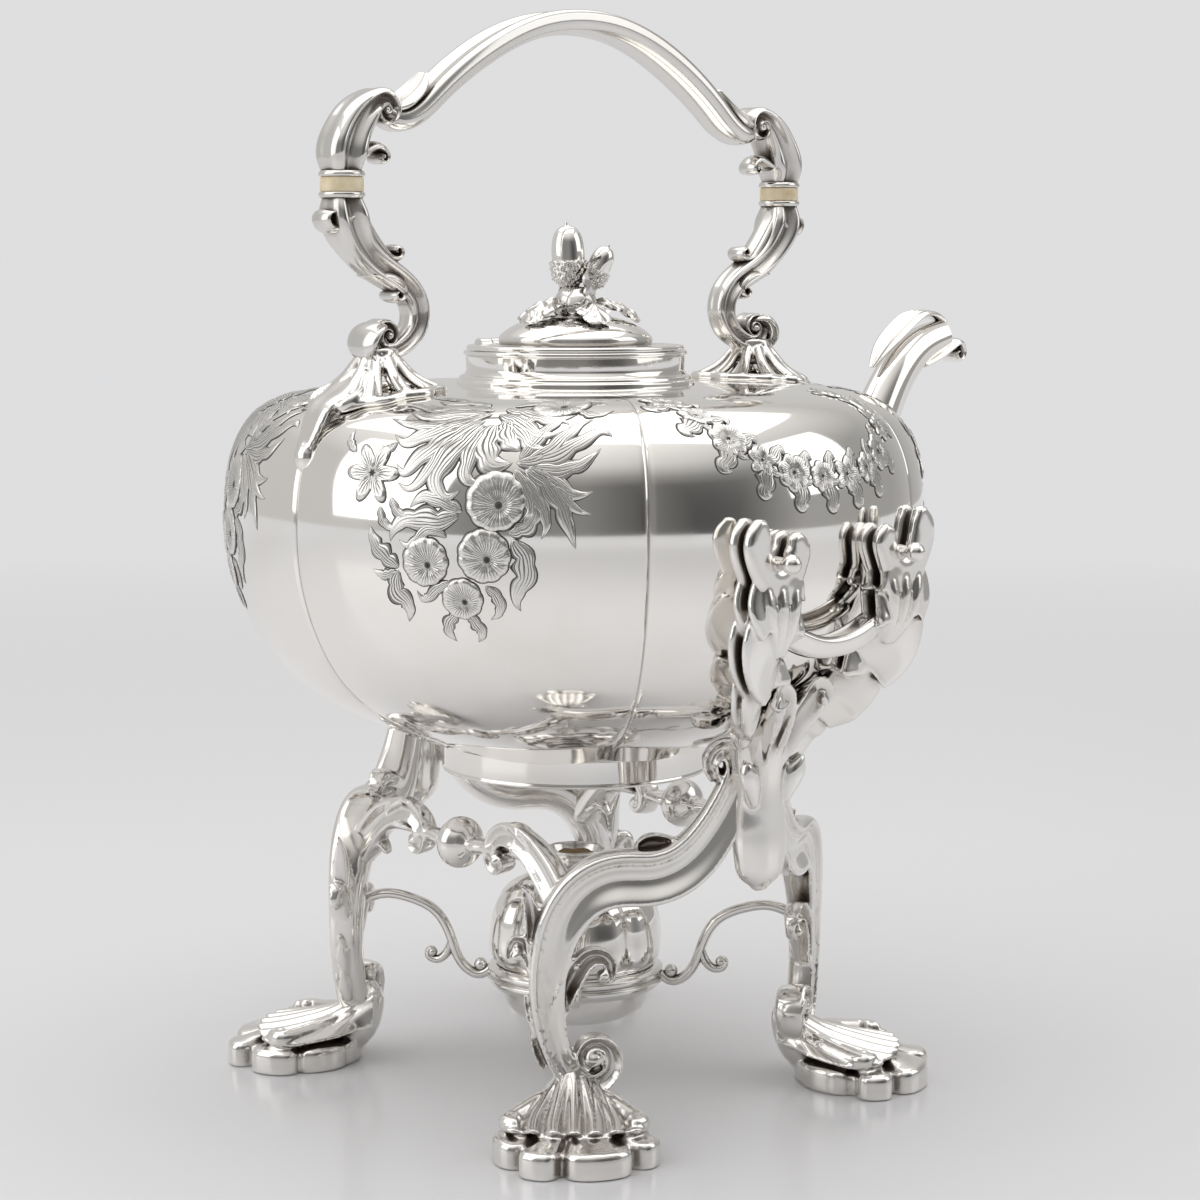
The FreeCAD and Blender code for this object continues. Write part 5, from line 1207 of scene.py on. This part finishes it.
def leaf_on_panel(line, half, bend=0.0):
    """A pointed leaf along a line of places on the panel."""
    spine = cubic([(*p, 0) for p in line], 37)[:, :2]
    run = unit(np.gradient(spine, axis=0))
    t, across = np.linspace(0, 1, 37)[:, None], np.linspace(-1, 1, 11)[None]
    lobed = 0.74 + 0.46 * np.abs(np.sin(np.pi * (LEAF_LOBES * t + 0.20 * np.sign(across))))
    wide = half * np.sin(np.pi * t ** 0.72) ** 0.8 * (1 + bend * np.sign(across) * 0.4)
    wide = wide * (1 + (lobed - 1) * min(1, half / 3) * np.clip(4 * t, 0, 1) * np.clip(2.4 - 2.4 * t, 0, 1))
    s = spine[:, :1] - run[:, 1:2] * wide * across
    a = spine[:, 1:2] + run[:, :1] * wide * across
    crown = (1 - np.abs(across) ** 2.2) * np.clip(wide / 1.2, 0, 1) - 0.25 * np.exp(-(across / 0.16) ** 2)
    return sheet_on_panel("leaf", s, a, LIFT * np.clip(crown, -0.15, 1), leaf_silver)


def finish_spray(name, parts):
    """The sheets of a spray as one piece, closed underneath."""
    made = join(name, *parts)
    pick(made)
    solid = made.modifiers.new("wall", "SOLIDIFY")
    solid.thickness, solid.offset = SPRAY_WALL * MM, -1.0
    bpy.ops.object.modifier_apply(modifier=solid.name)
    return made


def hang(piece, name, turns):
    """Copies of a spray, turned to their panels."""
    for k, turn in enumerate(turns):
        made = copy_of(piece, "%s_%d" % (name, k + 1), turn=turn)
        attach(made, "kettle")
    bpy.data.objects.remove(piece)


SPRAY_LEAVES = [
    ([(9, 66), (0, 71), (-10, 77), (-18, 80), (-22, 77)], 3.6),
    ([(8, 67), (-2, 67), (-12, 69), (-20, 66)], 3.2),
    ([(7, 70), (-3, 79), (-11, 86), (-17, 90), (-19, 87)], 3.6),
    ([(8, 72), (0, 84), (-4, 92), (-1, 97), (4, 95)], 3.6), ([(10, 73), (6, 84), (7, 92), (12, 92)], 2.8),
    ([(12, 62), (22, 66), (30, 69), (36, 66)], 3.0), ([(12, 72), (11, 80), (14, 86), (20, 86)], 4.6),
    ([(16, 70), (18, 78), (22, 82)], 3.8), ([(21, 86), (30, 84), (39, 79), (47, 75), (50, 77)], 3.2),
    ([(23, 86), (32, 80), (38, 72), (42, 69)], 2.8), ([(25, 87), (34, 88), (43, 85), (47, 81)], 2.6),
    ([(24, 88), (31, 92), (36, 98), (39, 106), (41, 113)], 3.0),
    ([(25, 87), (34, 92), (42, 96), (46, 95)], 2.6), ([(21, 88), (26, 96), (27, 101), (24, 104)], 2.4),
    ([(4, 103), (-4, 105), (-13, 105), (-19, 109), (-20, 112)], 3.4),
    ([(5, 102), (-2, 99), (-9, 98), (-13, 101)], 2.4),
    ([(21, 110), (25, 115), (25, 123), (22, 130), (23, 133)], 3.3),
    ([(20, 108), (25, 106), (28, 102), (27, 98)], 2.4),
    ([(-17, 120), (-22, 117), (-26, 113), (-28, 107)], 2.8),
    ([(-17, 121), (-18, 127), (-14, 132), (-15, 138)], 3.0), ([(-18, 121), (-23, 123), (-27, 121)], 1.6),
    ([(3, 134), (0, 137), (-1, 140), (1, 144)], 1.9), ([(6, 134), (9, 138), (10, 141), (8, 144)], 1.9),
    ([(6, 60), (0, 57), (-8, 58), (-14, 55)], 2.4), ([(14, 60), (20, 56), (26, 54)], 1.6),
    ([(-20, 80), (-24, 83), (-26, 81)], 1.4), ([(9, 64), (-3, 62), (-14, 63), (-24, 60), (-28, 62)], 2.8),
    ([(7, 68), (-6, 73), (-17, 73), (-26, 70)], 2.6),
    ([(8, 70), (-4, 83), (-8, 91), (-15, 95), (-18, 93)], 2.6),
    ([(11, 66), (20, 71), (27, 76), (34, 75)], 2.8), ([(13, 70), (22, 76), (25, 80), (31, 81)], 2.6),
    ([(22, 85), (27, 76), (33, 70), (35, 72)], 2.2), ([(26, 88), (36, 94), (42, 101), (46, 102)], 2.2),
    ([(24, 90), (30, 99), (32, 106), (30, 110)], 2.2), ([(0, 110), (-6, 108), (-14, 113), (-17, 111)], 1.8),
    ([(1, 124), (-4, 127), (-9, 130), (-11, 127)], 1.7), ([(12, 125), (16, 128), (16, 134), (13, 136)], 1.8),
    ([(-24, 101), (-22, 106), (-17, 108)], 1.5), ([(-36, 84), (-40, 80), (-39, 76)], 1.5),
    ([(-20, 98), (-16, 103), (-11, 103)], 1.5), ([(36, 63), (42, 66), (47, 63)], 1.9),
    ([(24, 64), (22, 70), (17, 73)], 1.8), ([(-2, 56), (-10, 52), (-18, 51)], 2.0)]
parts = [leaf_on_panel(line, half * 1.18, 0.5) for line, half in SPRAY_LEAVES]
parts += [bloom(15.5, 98, 10.0, 11), bloom(12.0, 115.2, 8.9, 11), bloom(-7.6, 117.6, 8.2, 11),
          bloom(4.4, 129.2, 7.0, 9), bloom(-28, 90.5, 10.4, 6, (0, 0), 0.1, 0.42), bloom(28.8, 59.0, 9.4, 9)]
spray = finish_spray("spray", parts)
print("spray:", len(spray.data.polygons), "faces")
hang(spray, "flower_spray", (30, 150, 210, 330))

GARLAND = cubic([(-40, 56), (-38, 66), (-33, 78), (-22, 87), (-9, 91.5), (6, 92.5), (22, 91), (36, 85),
                 (45, 75), (47, 64), (44, 55)], 12)
parts = []
for k, here in enumerate(GARLAND):
    parts.append(bloom(*here, 6.6 - 1.2 * (k % 2), 7 if k % 3 else 5, (0, 0), 0.1, 0.06 if k % 3 else 0.30))
    way_on = GARLAND[min(k + 1, len(GARLAND) - 1)] - GARLAND[max(k - 1, 0)]
    run, out = unit(way_on), unit(np.array((-way_on[1], way_on[0])))
    for way, reach, half in ((1, 10.0, 3.6), (-1, 7.5, 2.7)):
        middle, tip = here + out * way * reach * 0.5 + run * 3.6, here + out * way * reach + run * 5
        parts.append(leaf_on_panel([here, middle, tip, tip + run * 2.4 - out * way * 1.6], half, 0.4))
    parts.append(leaf_on_panel([here, here + run * 6 + out * 1.6, here + run * 9], 1.6, 0.3))
garland = finish_spray("garland", parts)
print("garland:", len(garland.data.polygons), "faces")
hang(garland, "flower_garland", (90, 270))

# %% [markdown]
# The small parts of the lid's hinge, the ring under the lid and the nut inside it are right as they are, and
# only take a finish.

# %% Finishes of the solids that stay
stood_for = {n for o in bpy.data.objects for n in o.get("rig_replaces", [])}
for name, node in frame["nodes"].items():
    if name not in stood_for:
        node.data.materials.clear()
        node.data.materials.append(plain_silver.material)
        print("kept as packed:", name)

# %% [markdown]
# The studio is plain: a pale floor that fades into a pale background, big soft lamps, and a room that
# is darker behind the camera and to its right, because polished silver is only as good as what it mirrors.

# %% Studio
FLOOR_HALF, PALE, MIDDLE = 3.0, 0.735, (0, 0, 0.17)
LAMPS = [("lamp_top", (0.05, 0.1, 1.5), 1.9, 9.5), ("lamp_left", (-1.25, 0.35, 0.75), 1.25, 4.5),
         ("lamp_right", (0.95, -0.95, 0.85), 1.0, 3.0)]
bpy.ops.object.select_all(action="DESELECT")
bpy.ops.mesh.primitive_circle_add(vertices=96, radius=FLOOR_HALF, fill_type="NGON")
floor = bpy.context.object
floor.name = "studio_floor"
floor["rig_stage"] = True
ground = Paint("studio_floor", Base_Color=(0.70, 0.70, 0.715, 1), Roughness=0.20, Specular_IOR_Level=0.35)
place = ground.node("ShaderNodeTexCoord", out=3)
far = ground.node("ShaderNodeVectorMath", {"operation": "LENGTH"}, {0: place}, 1)
fade = ground.ramp(far * (1 / FLOOR_HALF), (0.16, 0.0), (0.60, 1.0))
glow = ground.node("ShaderNodeEmission", None, {"Color": (PALE, PALE, PALE * 1.012, 1), "Strength": 1.0})
blend = ground.node("ShaderNodeMixShader", None,
                    {0: fade, 1: Wire(ground, ground.shader.outputs[0]), 2: glow})
ground.plug(ground.tree.nodes["Material Output"].inputs[0], blend)
floor.data.materials.append(ground.material)

world = bpy.data.worlds.new("studio_room")
scene.world = world
world.use_nodes = True
room = Paint("studio_room", world.node_tree)
sky = room.node("ShaderNodeTexCoord", out=0)
split = room.node("ShaderNodeSeparateXYZ", None, {0: sky})
east, north, high = (Wire(room, split.socket.node.outputs[k]) for k in range(3))
towards = east * math.sin(CAMERA_TURN) + north * -math.cos(CAMERA_TURN)
dim = room.ramp(towards, (0.25, 0.0), (0.85, 1.0)) * (1 - room.ramp(high, (0.35, 0.0), (0.62, 1.0)))
right = east * math.cos(CAMERA_TURN) + north * math.sin(CAMERA_TURN)
level = 0.60 - dim * 0.36 - room.ramp(right, (0.15, 0.0), (0.75, 1.0)) * 0.24
level = level + room.ramp(high, (0.45, 0.0), (0.85, 1.0)) * 0.40
seen = room.node("ShaderNodeLightPath")
behind = world.node_tree.nodes["Background"]
shade = room.node("ShaderNodeCombineColor", None, {0: level, 1: level * 0.985, 2: level * 0.965})
room.plug(behind.inputs[0], room.mix(seen, shade, (PALE, PALE, PALE * 1.012, 1)))
behind.inputs[1].default_value = 1.0


def soft_lamp(name, place, size, power):
    """A big soft lamp that looks at the kettle."""
    bpy.ops.object.light_add(type="AREA", location=place)
    lamp = bpy.context.object
    lamp.name, lamp.data.shape, lamp.data.size, lamp.data.energy = name, "SQUARE", size, power
    aim = np.array(MIDDLE) - np.array(place)
    lamp.rotation_euler = (math.acos(-aim[2] / np.linalg.norm(aim)), 0,
                           math.atan2(aim[1], aim[0]) - math.pi / 2)
    return lamp


for lamp in LAMPS:
    soft_lamp(*lamp)
print("studio: floor, room and three lamps")

# %% [markdown]
# The box round the visual model is printed at the end.

# %% Sizes and finish
low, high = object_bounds()
print("visual box", [round(x, 4) for x in (*low, *high)])
